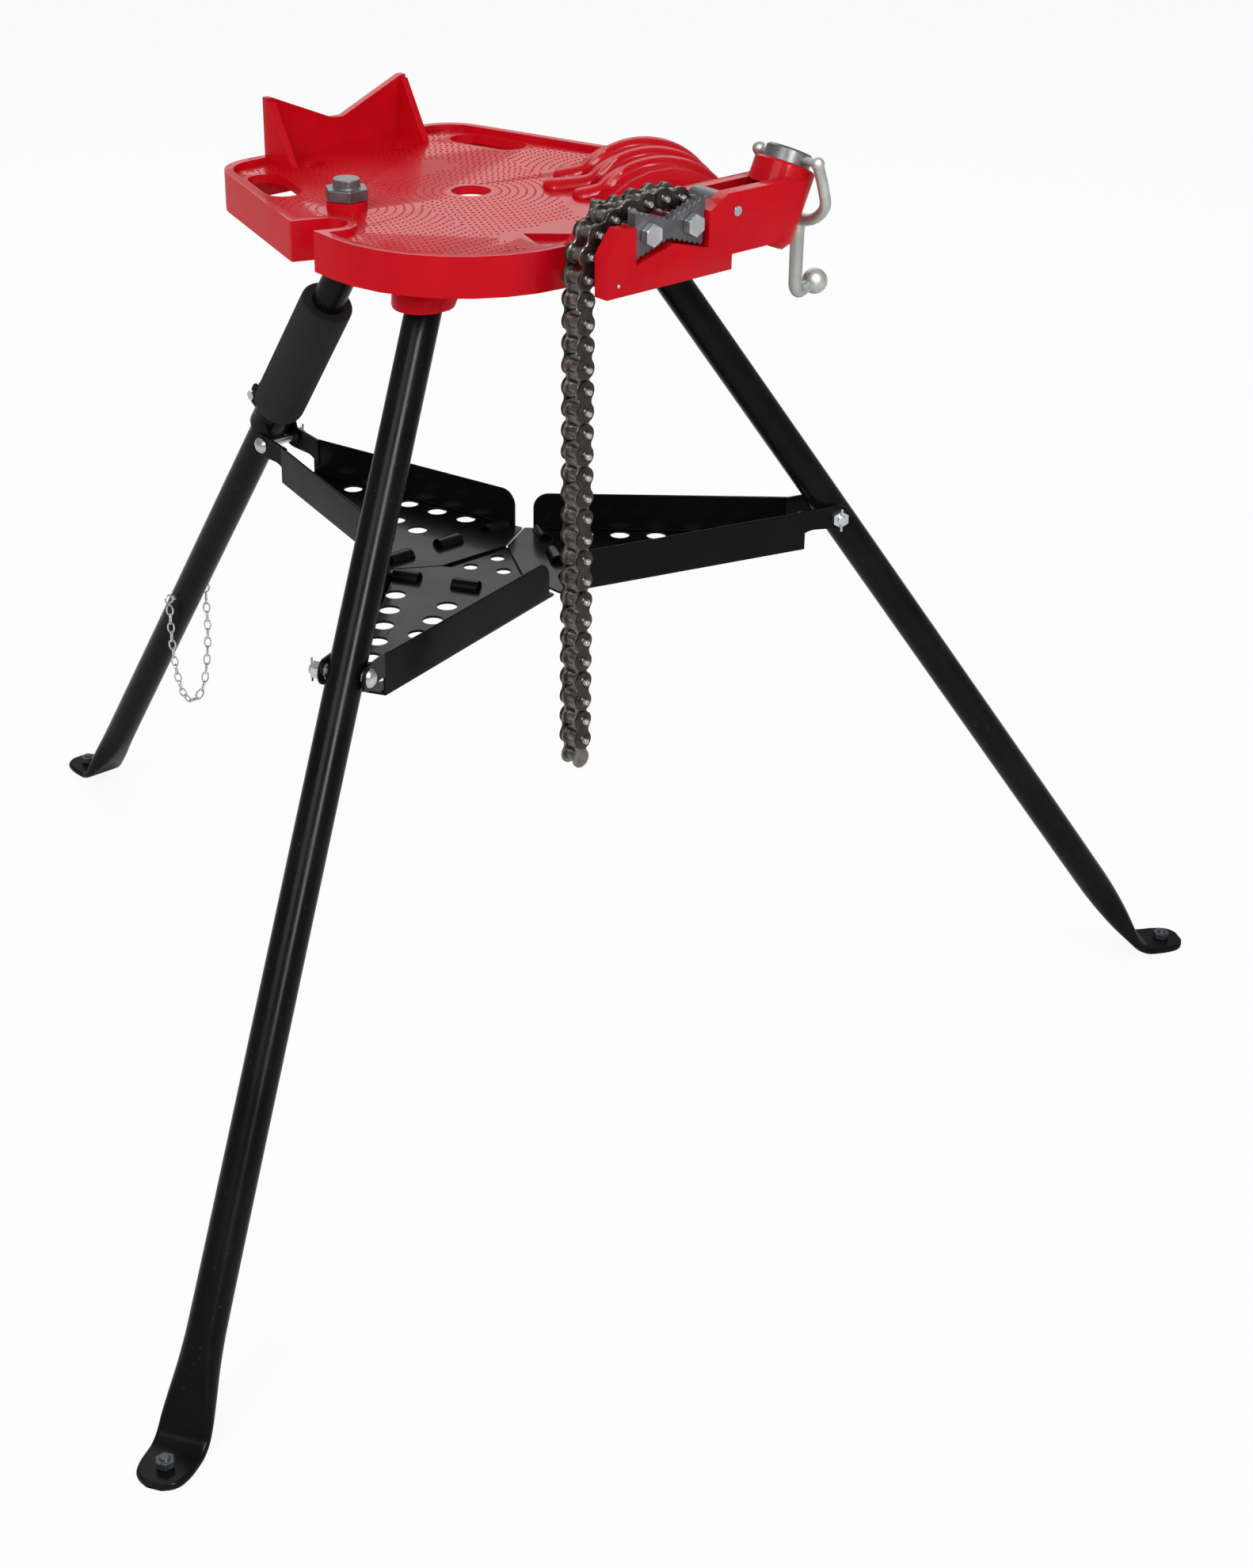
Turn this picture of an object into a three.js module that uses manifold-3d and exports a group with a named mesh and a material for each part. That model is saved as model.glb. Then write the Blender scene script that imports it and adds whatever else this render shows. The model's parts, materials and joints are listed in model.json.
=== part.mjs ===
// Tripod pipe vise stand: a cast vise table with a chain vise on three folding tube legs and a folding tray.
// Millimetres, +Z up, +X along the clamped pipe from the rear rest to the vise, +Y towards the crank handle.
import * as THREE from "three";
import { mergeVertices } from "three/addons/utils/BufferGeometryUtils.js";
import Module from "manifold-3d";

const wasm = await Module();
wasm.setup();

// Running gap between neighbouring pieces
const FIT = 0.3;

// Legs
const LEG_SPLAY = 35;
const LEG_FOLD = 30;
const LEG_OD = 31.75;
const LEG_SIDES = 12;
const LEG_WALL = 2.6;
const LEG_ABOVE_PIVOT = 12;
const FRONT_HEADING = 61;
const PIVOT_HEIGHT = 822;
const PIVOT_PIN_RADIUS = 6;
const FOOT_HALF_WIDTH = 23.5;
const FOOT_THICKNESS = 8;
const FOOT_REACH = 46;
const FOOT_BOLT_REACH = 25;
const FOOT_BOLT_RADIUS = 4.2;
const FOOT_NUT_RADIUS = 8.5;
const FOOT_NUT_HEIGHT = 7;

// Rear leg fittings
const GRIP_OD = 52;
const GRIP_LENGTH = 159;
const GRIP_TOP_HEIGHT = 699;
const COLLAR_OD = 40;
const COLLAR_LENGTH = 28;
const COLLAR_BOLT_REACH = 30;
const TIE_EYE_HEIGHT = 303;
const TIE_EYE_REACH = 24;
const TIE_EYE_RADIUS = 5;
const TIE_DROP = 122;
const TIE_LINKS = 13;
const TIE_WIRE = 2.4;

// Tray
const TRAY_PIN_REACH = 335;
const TRAY_PIN_HEIGHT = 531.7;
const TRAY_PIN_RADIUS = 4.2;
const TRAY_FLOOR_HEIGHT = 501;
const TRAY_FLANGE_TOP = 539;
const TRAY_SHEET = 2.3;
const TRAY_INNER_REACH = 24;
const TRAY_INNER_HALF = 39;
const TRAY_CORNER_REACH = 49;
const TRAY_CORNER_HALF = 82;
const TRAY_FLOOR_END = 302;
const TRAY_FLANGE_SETBACK = 9;
const TRAY_FLANGE_ROUND = 15;
const EAR_OFFSET = 18.9;
const EAR_RADIUS = 11.5;
const TRAY_HOLE_RADIUS = 9.5;
const LOOP_REACH = 63;
const LOOP_SPREAD = 59;
const LOOP_LENGTH = 25;
const LOOP_RADIUS = 6;
const HUB_INRADIUS = 21;
const HUB_HOLE_REACH = 19;
const HUB_HOLE_RADIUS = 7;

// Table casting
const DECK_TOP = 853;
const DECK_THICKNESS = 8;
const RIM_TOP = 858.5;
const RIM_BOTTOM = 823;
const RIM_WALL = 8;
const TABLE_REAR_ROUND = 45;
const TABLE_REAR_CENTRE = [-178, 102];
const TABLE_SIDE_ROUND = 48;
const TABLE_SIDE_CENTRE = [-20, 147];
const TABLE_FRONT_ROUND = 134;
const TABLE_FRONT_CENTRE = [43.7, 65];
const CENTRE_HOLE = [-23, 0, 18];
const SLOT_CENTRE = [-148, 124];
const SLOT_LENGTH = 80;
const SLOT_WIDTH = 34;
const SLOT_ANGLE = 17;
const SMALL_HOLE = [-193, 56, 8.5];
const NOTCH_MOUTH = [-10, 196];
const NOTCH_HALF_WIDTH = 17;
const NOTCH_DEPTH = 40;
const NOTCH_LEAN = 20;
const BOSS_RADIUS = 31;
const BOSS_LIP_RADIUS = 23;
const BOSS_LIP_DROP = 29;
const REST_HALF_WIDTH = 80;
// These two are heights above the deck
const REST_PEAK = 58.5;
const PIPE_V_HEIGHT = 30;
const REST_THICKNESS = 7;
const GUSSET_REACH = 34;
const BRACE_CENTRE = [-44, -122];
const BRACE_BOSS_RADIUS = 18;
const BRACE_BOSS_TOP = 862;
const BRACE_STEM_RADIUS = 10;
const BRACE_STEM_LENGTH = 54;
const BRACE_HEX_RADIUS = 20;
const BRACE_HEX_HEIGHT = 10;
const BRACE_TOP_RADIUS = 12;
const BRACE_TOP_HEIGHT = 8;
const BENDER_REACH = 153;
const BENDER_AXIS_HEIGHT = 811;
const BENDER_RADIUS = 75;
const BENDER_GROOVE = 8;
const BENDER_PITCH = 35;
const BENDER_RIDGES = 4;
const BENDER_WALL = 8;
const FINGER_LENGTHS = [42, 60, 40];
const FINGER_HALF_WIDTH = 12;

// Chain vise
const CHAIN_X = 206;
const JAW_GAP = 36;
const JAW_THICKNESS = 10;
const CHEEK_THICKNESS = 15;
const JAW_HALF_WIDTH = 41;
const JAW_CENTRE_HEIGHT = 874;
const JAW_HALF_HEIGHT = 22;
const JAW_WAIST = 9;
const JAW_TEETH = 7;
const JAW_TOOTH_DEPTH = 2.4;
const JAW_BOLT_SPREAD = 24;
const JAW_BOLT_RADIUS = 6;
const JAW_BOLT_HEAD = 10;
const JAW_BOLT_HEAD_HEIGHT = 8;
const VISE_BOTTOM = 828;
const CHANNEL_HALF = 21;
const ARM_BOTTOM = 841;
const ARM_FLOOR = 845.5;
// Above the deck
const ARM_TOP = 40;
const SLEEVE_RIM = [163.7, 896.5];
const SLEEVE_TILT = 25;
const SLEEVE_OD = 55;
const SLEEVE_BORE = 38;
const SLEEVE_LENGTH = 70;
const ROLLER_CENTRE = [75, 877];
const ROLLER_RADIUS = 12;
const ROLLER_BORE_RADIUS = 5;
const ROLLER_PIN_RADIUS = 4.6;
const KEEPER_PIN_CENTRE = [-61, 838];
const KEEPER_PIN_RADIUS = 1.8;

// Tension screw, nut and handle
const NUT_RADIUS = 21;
const NUT_HEIGHT = 12.5;
const NUT_SHANK_LENGTH = 14;
const NUT_CAP = 3;
const SCREW_RADIUS = 9;
const SCREW_EYE_DEPTH = 38;
const FORK_CHEEK = 3;
const FORK_HALF_WIDTH = 7.5;
const FORK_CLEAR = 12.5;
const FORK_TIP = 8;
const HANDLE_PIN_RADIUS = 3.5;
const HANDLE_ARM_OFFSET = 35.5;
const HANDLE_ARM_RADIUS = 5;
const HANDLE_CROTCH = [182, 845];
const HANDLE_END_HEIGHT = 776;
const HANDLE_SHANK_RADIUS = 6;
const KNOB_RADIUS = 11.5;
const KNOB_REACH = 25;
const KNOB_RISE = 8;

// Roller chain
const PITCH = 19.05;
const PLATE_RADIUS = 9.05;
const PLATE_THICKNESS = 2.4;
const CHAIN_INNER_HALF = 6.3;
const CHAIN_PIN_RADIUS = 2.8;
const CHAIN_PIN_CLEARANCE = 0.85;
const CHAIN_PIN_STAND_OUT = 5;
const BUSH_RADIUS = 5.9;
const HANG_Y = -74.5;
const HANGING_LINKS = 23;
// Above the deck
const CHAIN_OVER_JAWS = 40.6;
const HANG_START = 846;

// Finishes
const finish = (color, roughness, metalness) =>
  new THREE.MeshStandardMaterial({ color, roughness, metalness, flatShading: true });
const RED_ENAMEL = finish(0xb3131d, 0.3, 0);
const BLACK_PAINT = finish(0x161718, 0.35, 0);
const JAW_STEEL = finish(0x464648, 0.5, 0.8);
const ZINC = finish(0xb9bec0, 0.35, 0.9);
const DULL_ZINC = finish(0xaeb3aa, 0.5, 0.8);
const CHAIN_STEEL = finish(0x4a4540, 0.45, 0.85);
const CHAIN_BRIGHT = finish(0x7a756d, 0.4, 0.85);
const FOAM = finish(0x242526, 0.95, 0);

// Derived places
const rad = THREE.MathUtils.degToRad;
const SIN_SPLAY = Math.sin(rad(LEG_SPLAY));
const COS_SPLAY = Math.cos(rad(LEG_SPLAY));
const LEG_RADIUS = LEG_OD / 2;
const PIN_DROP = PIVOT_HEIGHT - TRAY_PIN_HEIGHT;
const FRONT_PIVOT_REACH = TRAY_PIN_REACH - (PIN_DROP * SIN_SPLAY) / COS_SPLAY;
const REAR_PIN_OFFSET = LEG_RADIUS + FIT + TRAY_PIN_RADIUS;
const REAR_PIVOT_REACH = FRONT_PIVOT_REACH + REAR_PIN_OFFSET / COS_SPLAY;
const DECK_BOTTOM = DECK_TOP - DECK_THICKNESS;
const REST_TOP_Z = DECK_TOP + REST_PEAK;
const PIPE_V_Z = DECK_TOP + PIPE_V_HEIGHT;
const ARM_TOP_Z = DECK_TOP + ARM_TOP;
const CHAIN_TOP_Z = DECK_TOP + CHAIN_OVER_JAWS;
const JAW_INNER = JAW_GAP / 2;
const VISE_OUTER = JAW_INNER + CHEEK_THICKNESS;
const PIN_HOLE_RADIUS = CHAIN_PIN_RADIUS + CHAIN_PIN_CLEARANCE;
const OUTER_PLATE = CHAIN_INNER_HALF + PLATE_THICKNESS + FIT;
const CHAIN_HALF = OUTER_PLATE + PLATE_THICKNESS;
const REST_FRONT = TABLE_REAR_CENTRE[0] - TABLE_REAR_ROUND + REST_THICKNESS;
const SCREW_DOWN = [-Math.sin(rad(SLEEVE_TILT)), -Math.cos(rad(SLEEVE_TILT))];
const alongScrew = (depth) => [
  SLEEVE_RIM[0] + SCREW_DOWN[0] * depth,
  SLEEVE_RIM[1] + SCREW_DOWN[1] * depth,
];
const EYE = alongScrew(SCREW_EYE_DEPTH);
const HANDLE_PIVOT = alongScrew(-FIT - NUT_HEIGHT / 2);
const LEGS = [
  { side: "rear", heading: 180, reach: REAR_PIVOT_REACH },
  { side: "left", heading: -FRONT_HEADING, reach: FRONT_PIVOT_REACH },
  { side: "right", heading: FRONT_HEADING, reach: FRONT_PIVOT_REACH },
];

// Solids: three.js geometry in, joined or cut geometry out
function solidOf(geometry) {
  const bare = geometry.index ? geometry.toNonIndexed() : geometry.clone();
  bare.deleteAttribute("normal");
  bare.deleteAttribute("uv");
  const merged = mergeVertices(bare, 1e-4);
  const corners = merged.index.array;
  const kept = [];
  for (let i = 0; i < corners.length; i += 3) {
    const [a, b, c] = corners.slice(i, i + 3);
    if (a !== b && b !== c && c !== a) {
      kept.push(a, b, c);
    }
  }
  const vertProperties = merged.attributes.position.array;
  return new wasm.Manifold(new wasm.Mesh({ numProp: 3, vertProperties, triVerts: new Uint32Array(kept) }));
}

function geometryOf(solid) {
  const mesh = solid.getMesh();
  const geometry = new THREE.BufferGeometry();
  geometry.setAttribute("position", new THREE.BufferAttribute(mesh.vertProperties, 3));
  geometry.setIndex(new THREE.BufferAttribute(mesh.triVerts, 1));
  return geometry;
}

const join = (...pieces) => geometryOf(pieces.map(solidOf).reduce((a, b) => a.add(b)));
const cut = (body, ...tools) => geometryOf(tools.map(solidOf).reduce((a, b) => a.subtract(b), solidOf(body)));
const overlap = (a, b) => geometryOf(solidOf(a).intersect(solidOf(b)));

// Primitive shapes
const rodX = (radius, from, to, sides = 16) =>
  new THREE.CylinderGeometry(radius, radius, to - from, sides).rotateZ(Math.PI / 2).translate((from + to) / 2, 0, 0);
const rodY = (radius, from, to, sides = 16) =>
  new THREE.CylinderGeometry(radius, radius, to - from, sides).translate(0, (from + to) / 2, 0);
const rodZ = (radius, from, to, sides = 16) =>
  new THREE.CylinderGeometry(radius, radius, to - from, sides).rotateX(Math.PI / 2).translate(0, 0, (from + to) / 2);
const box = (x0, x1, y0, y1, z0, z1) =>
  new THREE.BoxGeometry(x1 - x0, y1 - y0, z1 - z0).translate((x0 + x1) / 2, (y0 + y1) / 2, (z0 + z1) / 2);
const shapeOf = (points) => new THREE.Shape(points.map(([a, b]) => new THREE.Vector2(a, b)));
const slab = (shape, from, to, curveSegments = 6) =>
  new THREE.ExtrudeGeometry(shape, { depth: to - from, bevelEnabled: false, curveSegments }).translate(0, 0, from);
const TO_YZ = new THREE.Matrix4().makeBasis(
  new THREE.Vector3(0, 1, 0),
  new THREE.Vector3(0, 0, 1),
  new THREE.Vector3(1, 0, 0),
);
const slabX = (shape, from, to, curveSegments) => slab(shape, from, to, curveSegments).applyMatrix4(TO_YZ);
const slabY = (shape, from, to, curveSegments) => slab(shape, -to, -from, curveSegments).rotateX(Math.PI / 2);

// A turned solid about Z from a closed profile of [radius, height] points
function turned(profile, sides = 16) {
  const points = [...profile, profile[0]].map(([r, z]) => new THREE.Vector2(r, z));
  return new THREE.LatheGeometry(points, sides).rotateX(Math.PI / 2);
}

// A closed skin over rings of equally many points, with a fan on each end
function loft(rings) {
  const count = rings[0].length;
  const index = [];
  for (let r = 0; r + 1 < rings.length; r += 1) {
    for (let i = 0; i < count; i += 1) {
      const a = r * count + i;
      const b = r * count + ((i + 1) % count);
      index.push(a, b, b + count, a, b + count, a + count);
    }
  }
  const last = (rings.length - 1) * count;
  for (let i = 1; i + 1 < count; i += 1) {
    index.push(0, i + 1, i, last, last + i, last + i + 1);
  }
  return new THREE.BufferGeometry().setFromPoints(rings.flat()).setIndex(index);
}

// A shape of two half circles joined by straight sides, centred, long in its first direction
function obround(length, width) {
  const half = (length - width) / 2;
  const shape = new THREE.Shape();
  shape.absarc(half, 0, width / 2, -Math.PI / 2, Math.PI / 2, false);
  shape.absarc(-half, 0, width / 2, Math.PI / 2, (3 * Math.PI) / 2, false);
  return shape;
}

// The belt round circles [x, y, radius] listed counterclockwise, drawn in by inset
function belt(circles, inset) {
  const normals = circles.map(([x, y, r], i) => {
    const [nextX, nextY, nextR] = circles[(i + 1) % circles.length];
    const run = Math.hypot(nextX - x, nextY - y);
    return Math.atan2(nextY - y, nextX - x) + Math.asin((r - nextR) / run) - Math.PI / 2;
  });
  const shape = new THREE.Shape();
  circles.forEach(([x, y, r], i) => {
    const start = normals[(i + circles.length - 1) % circles.length];
    shape.absarc(x, y, r - inset, start, normals[i], false);
  });
  return shape;
}

function named(name, geometry, material) {
  const mesh = new THREE.Mesh(geometry, material);
  mesh.name = name;
  return mesh;
}

// Vise table
function tableOutline(inset) {
  const near = [
    [...TABLE_REAR_CENTRE, TABLE_REAR_ROUND],
    [...TABLE_SIDE_CENTRE, TABLE_SIDE_ROUND],
    [...TABLE_FRONT_CENTRE, TABLE_FRONT_ROUND],
  ];
  const far = [...near].reverse();
  return belt([...near.map(([x, y, r]) => [x, -y, r]), ...far], inset);
}

function deckTray() {
  const over = 5;
  return cut(
    slab(tableOutline(0), RIM_BOTTOM, RIM_TOP, 4),
    slab(tableOutline(RIM_WALL), DECK_TOP, RIM_TOP + over, 4),
    slab(tableOutline(RIM_WALL), RIM_BOTTOM - over, DECK_BOTTOM, 4),
  );
}

// The notch runs in from the edge, leaning towards the vise, with a wall of the rim's thickness round it
function notch(width, from, to) {
  const length = 2 * NOTCH_DEPTH + width;
  const shape = obround(length, width);
  const turn = rad(90 - NOTCH_LEAN);
  const reach = NOTCH_DEPTH - NOTCH_HALF_WIDTH - (length - width) / 2;
  return slab(shape, from, to)
    .translate(reach, 0, 0)
    .rotateZ(turn)
    .translate(NOTCH_MOUTH[0], -NOTCH_MOUTH[1], 0);
}

function legBoss(leg) {
  const above = (PIVOT_HEIGHT - DECK_BOTTOM - DECK_THICKNESS) / COS_SPLAY;
  const top = -above + BOSS_RADIUS;
  const profile = [
    [0, -BOSS_LIP_DROP],
    [BOSS_LIP_RADIUS, -BOSS_LIP_DROP],
    [BOSS_RADIUS, -BOSS_LIP_DROP / 4],
    [BOSS_RADIUS, top],
    [0, top],
  ];
  const cone = turned(profile).rotateY(-rad(LEG_SPLAY));
  return placeAtPivot(cone, leg);
}

function placeAtPivot(geometry, leg) {
  return geometry.translate(leg.reach, 0, PIVOT_HEIGHT).rotateZ(rad(leg.heading));
}

// The slot a folding leg sweeps between its splayed and folded angles, open inwards and below
function legSweep(leg) {
  const clear = LEG_RADIUS + FIT;
  const run = 3 * BOSS_RADIUS;
  const folded = rad(LEG_SPLAY - LEG_FOLD - 2);
  const splayed = rad(LEG_SPLAY);
  const outer = [Math.cos(splayed) * clear, Math.sin(splayed) * clear];
  const inner = [-Math.cos(folded) * clear, -Math.sin(folded) * clear];
  const wedge = shapeOf([
    outer,
    inner,
    [inner[0] + Math.sin(folded) * run, inner[1] - Math.cos(folded) * run],
    [outer[0] + Math.sin(splayed) * run, outer[1] - Math.cos(splayed) * run],
  ]);
  const sides = 14;
  const round = (Math.hypot(LEG_ABOVE_PIVOT, LEG_RADIUS) + FIT) / Math.cos(Math.PI / sides);
  const swept = join(slabY(wedge, -clear, clear), rodY(round, -clear, clear, sides));
  return placeAtPivot(swept, leg);
}

function pivotHole(leg) {
  return placeAtPivot(rodY(PIVOT_PIN_RADIUS + FIT, -2 * BOSS_RADIUS, 2 * BOSS_RADIUS), leg);
}

// Ridged drum for bending pipe, hollow from below, over the right front leg
function bender() {
  const span = (BENDER_RIDGES - 1) * BENDER_PITCH;
  const half = span / 2 + BENDER_PITCH / 2 - 2;
  const steps = BENDER_RIDGES * 3;
  const profile = [[0, -half]];
  for (let i = 0; i <= steps; i += 1) {
    const along = -half + (2 * half * i) / steps;
    const wave = (1 - Math.cos((2 * Math.PI * (along + span / 2)) / BENDER_PITCH)) / 2;
    profile.push([BENDER_RADIUS - BENDER_GROOVE * wave, along]);
  }
  profile.push([0, half]);
  const drum = turned(profile, 24).rotateX(-Math.PI / 2);
  const inside = BENDER_RADIUS - BENDER_GROOVE - BENDER_WALL;
  const hollow = rodY(inside, -half + BENDER_WALL, half - BENDER_WALL, 20);
  const fingers = FINGER_LENGTHS.map((length, i) =>
    new THREE.SphereGeometry(1, 10, 6)
      .scale(length, FINGER_HALF_WIDTH, BENDER_RADIUS / 2)
      .translate(-BENDER_RADIUS * 0.62, span / 2 - i * BENDER_PITCH, DECK_TOP - BENDER_AXIS_HEIGHT - 6),
  );
  const body = cut(join(drum, ...fingers), hollow);
  const keep = box(-2 * BENDER_RADIUS, 2 * BENDER_RADIUS, -2 * span, 2 * span, RIM_BOTTOM - BENDER_AXIS_HEIGHT, 300);
  return placeBender(overlap(body, keep));
}

function placeBender(geometry) {
  return geometry.translate(BENDER_REACH, 0, BENDER_AXIS_HEIGHT).rotateZ(rad(FRONT_HEADING));
}

function benderHollow() {
  const span = (BENDER_RIDGES - 1) * BENDER_PITCH;
  const half = span / 2 + BENDER_PITCH / 2 - 2 - BENDER_WALL;
  const inside = BENDER_RADIUS - BENDER_GROOVE - BENDER_WALL;
  return placeBender(rodY(inside, -half, half, 20));
}

function rearRest() {
  const top = REST_TOP_Z;
  const shape = shapeOf([
    [-REST_HALF_WIDTH, DECK_BOTTOM + 2],
    [REST_HALF_WIDTH, DECK_BOTTOM + 2],
    [REST_HALF_WIDTH, top],
    [REST_HALF_WIDTH - 6, top],
    [6, PIPE_V_Z],
    [-6, PIPE_V_Z],
    [-REST_HALF_WIDTH + 6, top],
    [-REST_HALF_WIDTH, top],
  ]);
  const plate = slabX(shape, REST_FRONT - REST_THICKNESS, REST_FRONT);
  const gusset = shapeOf([
    [REST_FRONT - 1, DECK_BOTTOM + 2],
    [REST_FRONT + GUSSET_REACH, DECK_BOTTOM + 2],
    [REST_FRONT + GUSSET_REACH, DECK_TOP + 2],
    [REST_FRONT + 3, top - 3],
    [REST_FRONT - 1, top - 3],
  ]);
  const inner = REST_HALF_WIDTH - REST_THICKNESS;
  return join(
    plate,
    slabY(gusset, inner, REST_HALF_WIDTH),
    slabY(gusset, -REST_HALF_WIDTH, -inner),
  );
}

// The V-backed jaw, its teeth cut into all four sloping faces
function jawOutline() {
  const points = [];
  const half = JAW_HALF_WIDTH;
  const tall = JAW_HALF_HEIGHT;
  const waist = JAW_WAIST;
  const edge = (fromY, fromZ, toY, toZ, up) => {
    for (let i = 0; i < JAW_TEETH; i += 1) {
      const root = i / JAW_TEETH;
      const tip = (i + 0.5) / JAW_TEETH;
      points.push([fromY + (toY - fromY) * root, fromZ + (toZ - fromZ) * root]);
      points.push([fromY + (toY - fromY) * tip, fromZ + (toZ - fromZ) * tip - up * JAW_TOOTH_DEPTH]);
    }
  };
  edge(-half, -tall, 0, -waist, -1);
  edge(0, -waist, half, -tall, -1);
  edge(half, tall, 0, waist, 1);
  edge(0, waist, -half, tall, 1);
  return shapeOf(points.map(([y, z]) => [y, z + JAW_CENTRE_HEIGHT]));
}

// The space a jaw drops into, open at the top
function jawPocket(from, to) {
  const half = JAW_HALF_WIDTH + FIT;
  const floor = JAW_CENTRE_HEIGHT - JAW_HALF_HEIGHT - FIT;
  const ridge = JAW_CENTRE_HEIGHT - JAW_WAIST - JAW_TOOTH_DEPTH - FIT;
  return slabX(
    shapeOf([
      [-half, floor],
      [0, ridge],
      [half, floor],
      [half, REST_TOP_Z],
      [-half, REST_TOP_Z],
    ]),
    from,
    to,
  );
}

// Front and rear cheeks, the web between the jaws and the arm out to the sleeve
function viseBase() {
  const front = [CHAIN_X + JAW_INNER, CHAIN_X + VISE_OUTER];
  const rear = [CHAIN_X - VISE_OUTER, CHAIN_X - JAW_INNER];
  const horn = JAW_HALF_WIDTH + 8;
  const shelf = ROLLER_CENTRE[0] - 6;
  const sleeveSide = alongScrew(SLEEVE_LENGTH / 2)[0];
  const arm = [
    [shelf, VISE_BOTTOM],
    [shelf, ARM_BOTTOM],
    [sleeveSide - 32, ARM_BOTTOM],
    [sleeveSide, ARM_BOTTOM + 14],
    [sleeveSide + 6, ARM_TOP_Z - 4],
    [sleeveSide - 10, ARM_TOP_Z],
    [shelf - 6, ARM_TOP_Z + 1],
    [JAW_HALF_WIDTH + 12, ARM_TOP_Z - 4],
    [JAW_HALF_WIDTH + 3, ARM_TOP_Z - 10],
  ];
  const frontShape = shapeOf([
    [HANG_Y + 1, VISE_BOTTOM],
    ...arm,
    [-horn + 2, ARM_TOP_Z - 10],
    [-horn - 9, ARM_TOP_Z - 9],
    [HANG_Y + 1, DECK_TOP + 11],
  ]);
  const rearShape = shapeOf([
    [HANG_Y + 10, VISE_BOTTOM],
    ...arm.map(([y, z]) => [y, Math.min(z, ARM_TOP_Z - 8)]),
    [-horn + 7, ARM_TOP_Z - 15],
    [HANG_Y + 10, DECK_TOP + 4],
  ]);
  const webShape = shapeOf([
    [HANG_Y + 19.5, VISE_BOTTOM],
    [JAW_HALF_WIDTH + 11, VISE_BOTTOM],
    [JAW_HALF_WIDTH + 11, ARM_FLOOR],
    [JAW_HALF_WIDTH + 3, DECK_TOP + 3],
    [JAW_HALF_WIDTH - 13, JAW_CENTRE_HEIGHT + 4],
    [-JAW_HALF_WIDTH + 10, JAW_CENTRE_HEIGHT + 4],
    [-JAW_HALF_WIDTH - 9, DECK_TOP + 8],
    [HANG_Y + 19.5, DECK_TOP - 4],
  ]);
  const floorShape = shapeOf([
    [JAW_HALF_WIDTH + 5, VISE_BOTTOM],
    [shelf, VISE_BOTTOM],
    [shelf, ARM_BOTTOM],
    [sleeveSide - 18, ARM_BOTTOM],
    [sleeveSide - 18, ARM_FLOOR],
    [JAW_HALF_WIDTH + 5, ARM_FLOOR],
  ]);
  const behind = TABLE_FRONT_CENTRE[0] + TABLE_FRONT_ROUND - RIM_WALL - 2;
  const neck = box(behind, rear[0] + 2, HANG_Y + 10, TABLE_FRONT_CENTRE[1], VISE_BOTTOM, RIM_TOP - 2);
  const body = join(
    slabX(frontShape, ...front),
    slabX(rearShape, ...rear),
    slabX(webShape, rear[1] - 2, front[0] + 2),
    slabX(floorShape, rear[1] - 2, front[0] + 2),
    neck,
  );
  const beside = VISE_OUTER - CHEEK_THICKNESS + 3;
  const widen = slabX(
    shapeOf([
      [JAW_HALF_WIDTH + 12, ARM_FLOOR],
      [sleeveSide, ARM_FLOOR],
      [sleeveSide, REST_TOP_Z],
      [JAW_HALF_WIDTH + 12, REST_TOP_Z],
    ]),
    CHAIN_X - CHANNEL_HALF,
    CHAIN_X + CHANNEL_HALF,
  );
  return cut(
    body,
    widen,
    jawPocket(CHAIN_X + JAW_INNER, CHAIN_X + 2 * VISE_OUTER),
    jawPocket(CHAIN_X - VISE_OUTER - beside, CHAIN_X - JAW_INNER),
  );
}

// Geometry drawn about Z with depth downwards from the sleeve's rim, laid along the screw
function alongSleeve(geometry) {
  return geometry.rotateX(-rad(SLEEVE_TILT)).translate(CHAIN_X, ...SLEEVE_RIM);
}

function sleeve() {
  const outer = SLEEVE_OD / 2;
  return alongSleeve(
    turned([
      [0, -SLEEVE_LENGTH],
      [outer - 6, -SLEEVE_LENGTH],
      [outer, -SLEEVE_LENGTH + 8],
      [outer, -2],
      [outer - 2, 0],
      [0, 0],
    ], 28),
  );
}

// The way the chain takes through the arm into the sleeve
function chainWay() {
  const start = JAW_HALF_WIDTH + 12;
  const half = PLATE_RADIUS + 3;
  const shape = shapeOf([
    [start, ARM_FLOOR],
    [EYE[0], ARM_FLOOR],
    [EYE[0] + half, EYE[1]],
    [EYE[0], EYE[1] + 2 * half],
    [start, ARM_TOP_Z],
  ]);
  return slabX(shape, CHAIN_X - SLEEVE_BORE / 2, CHAIN_X + SLEEVE_BORE / 2);
}

function deckSlot(side) {
  return slab(obround(SLOT_LENGTH, SLOT_WIDTH), RIM_BOTTOM, RIM_TOP, 4)
    .rotateZ(side * rad(SLOT_ANGLE))
    .translate(SLOT_CENTRE[0], side * SLOT_CENTRE[1], 0);
}

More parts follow.
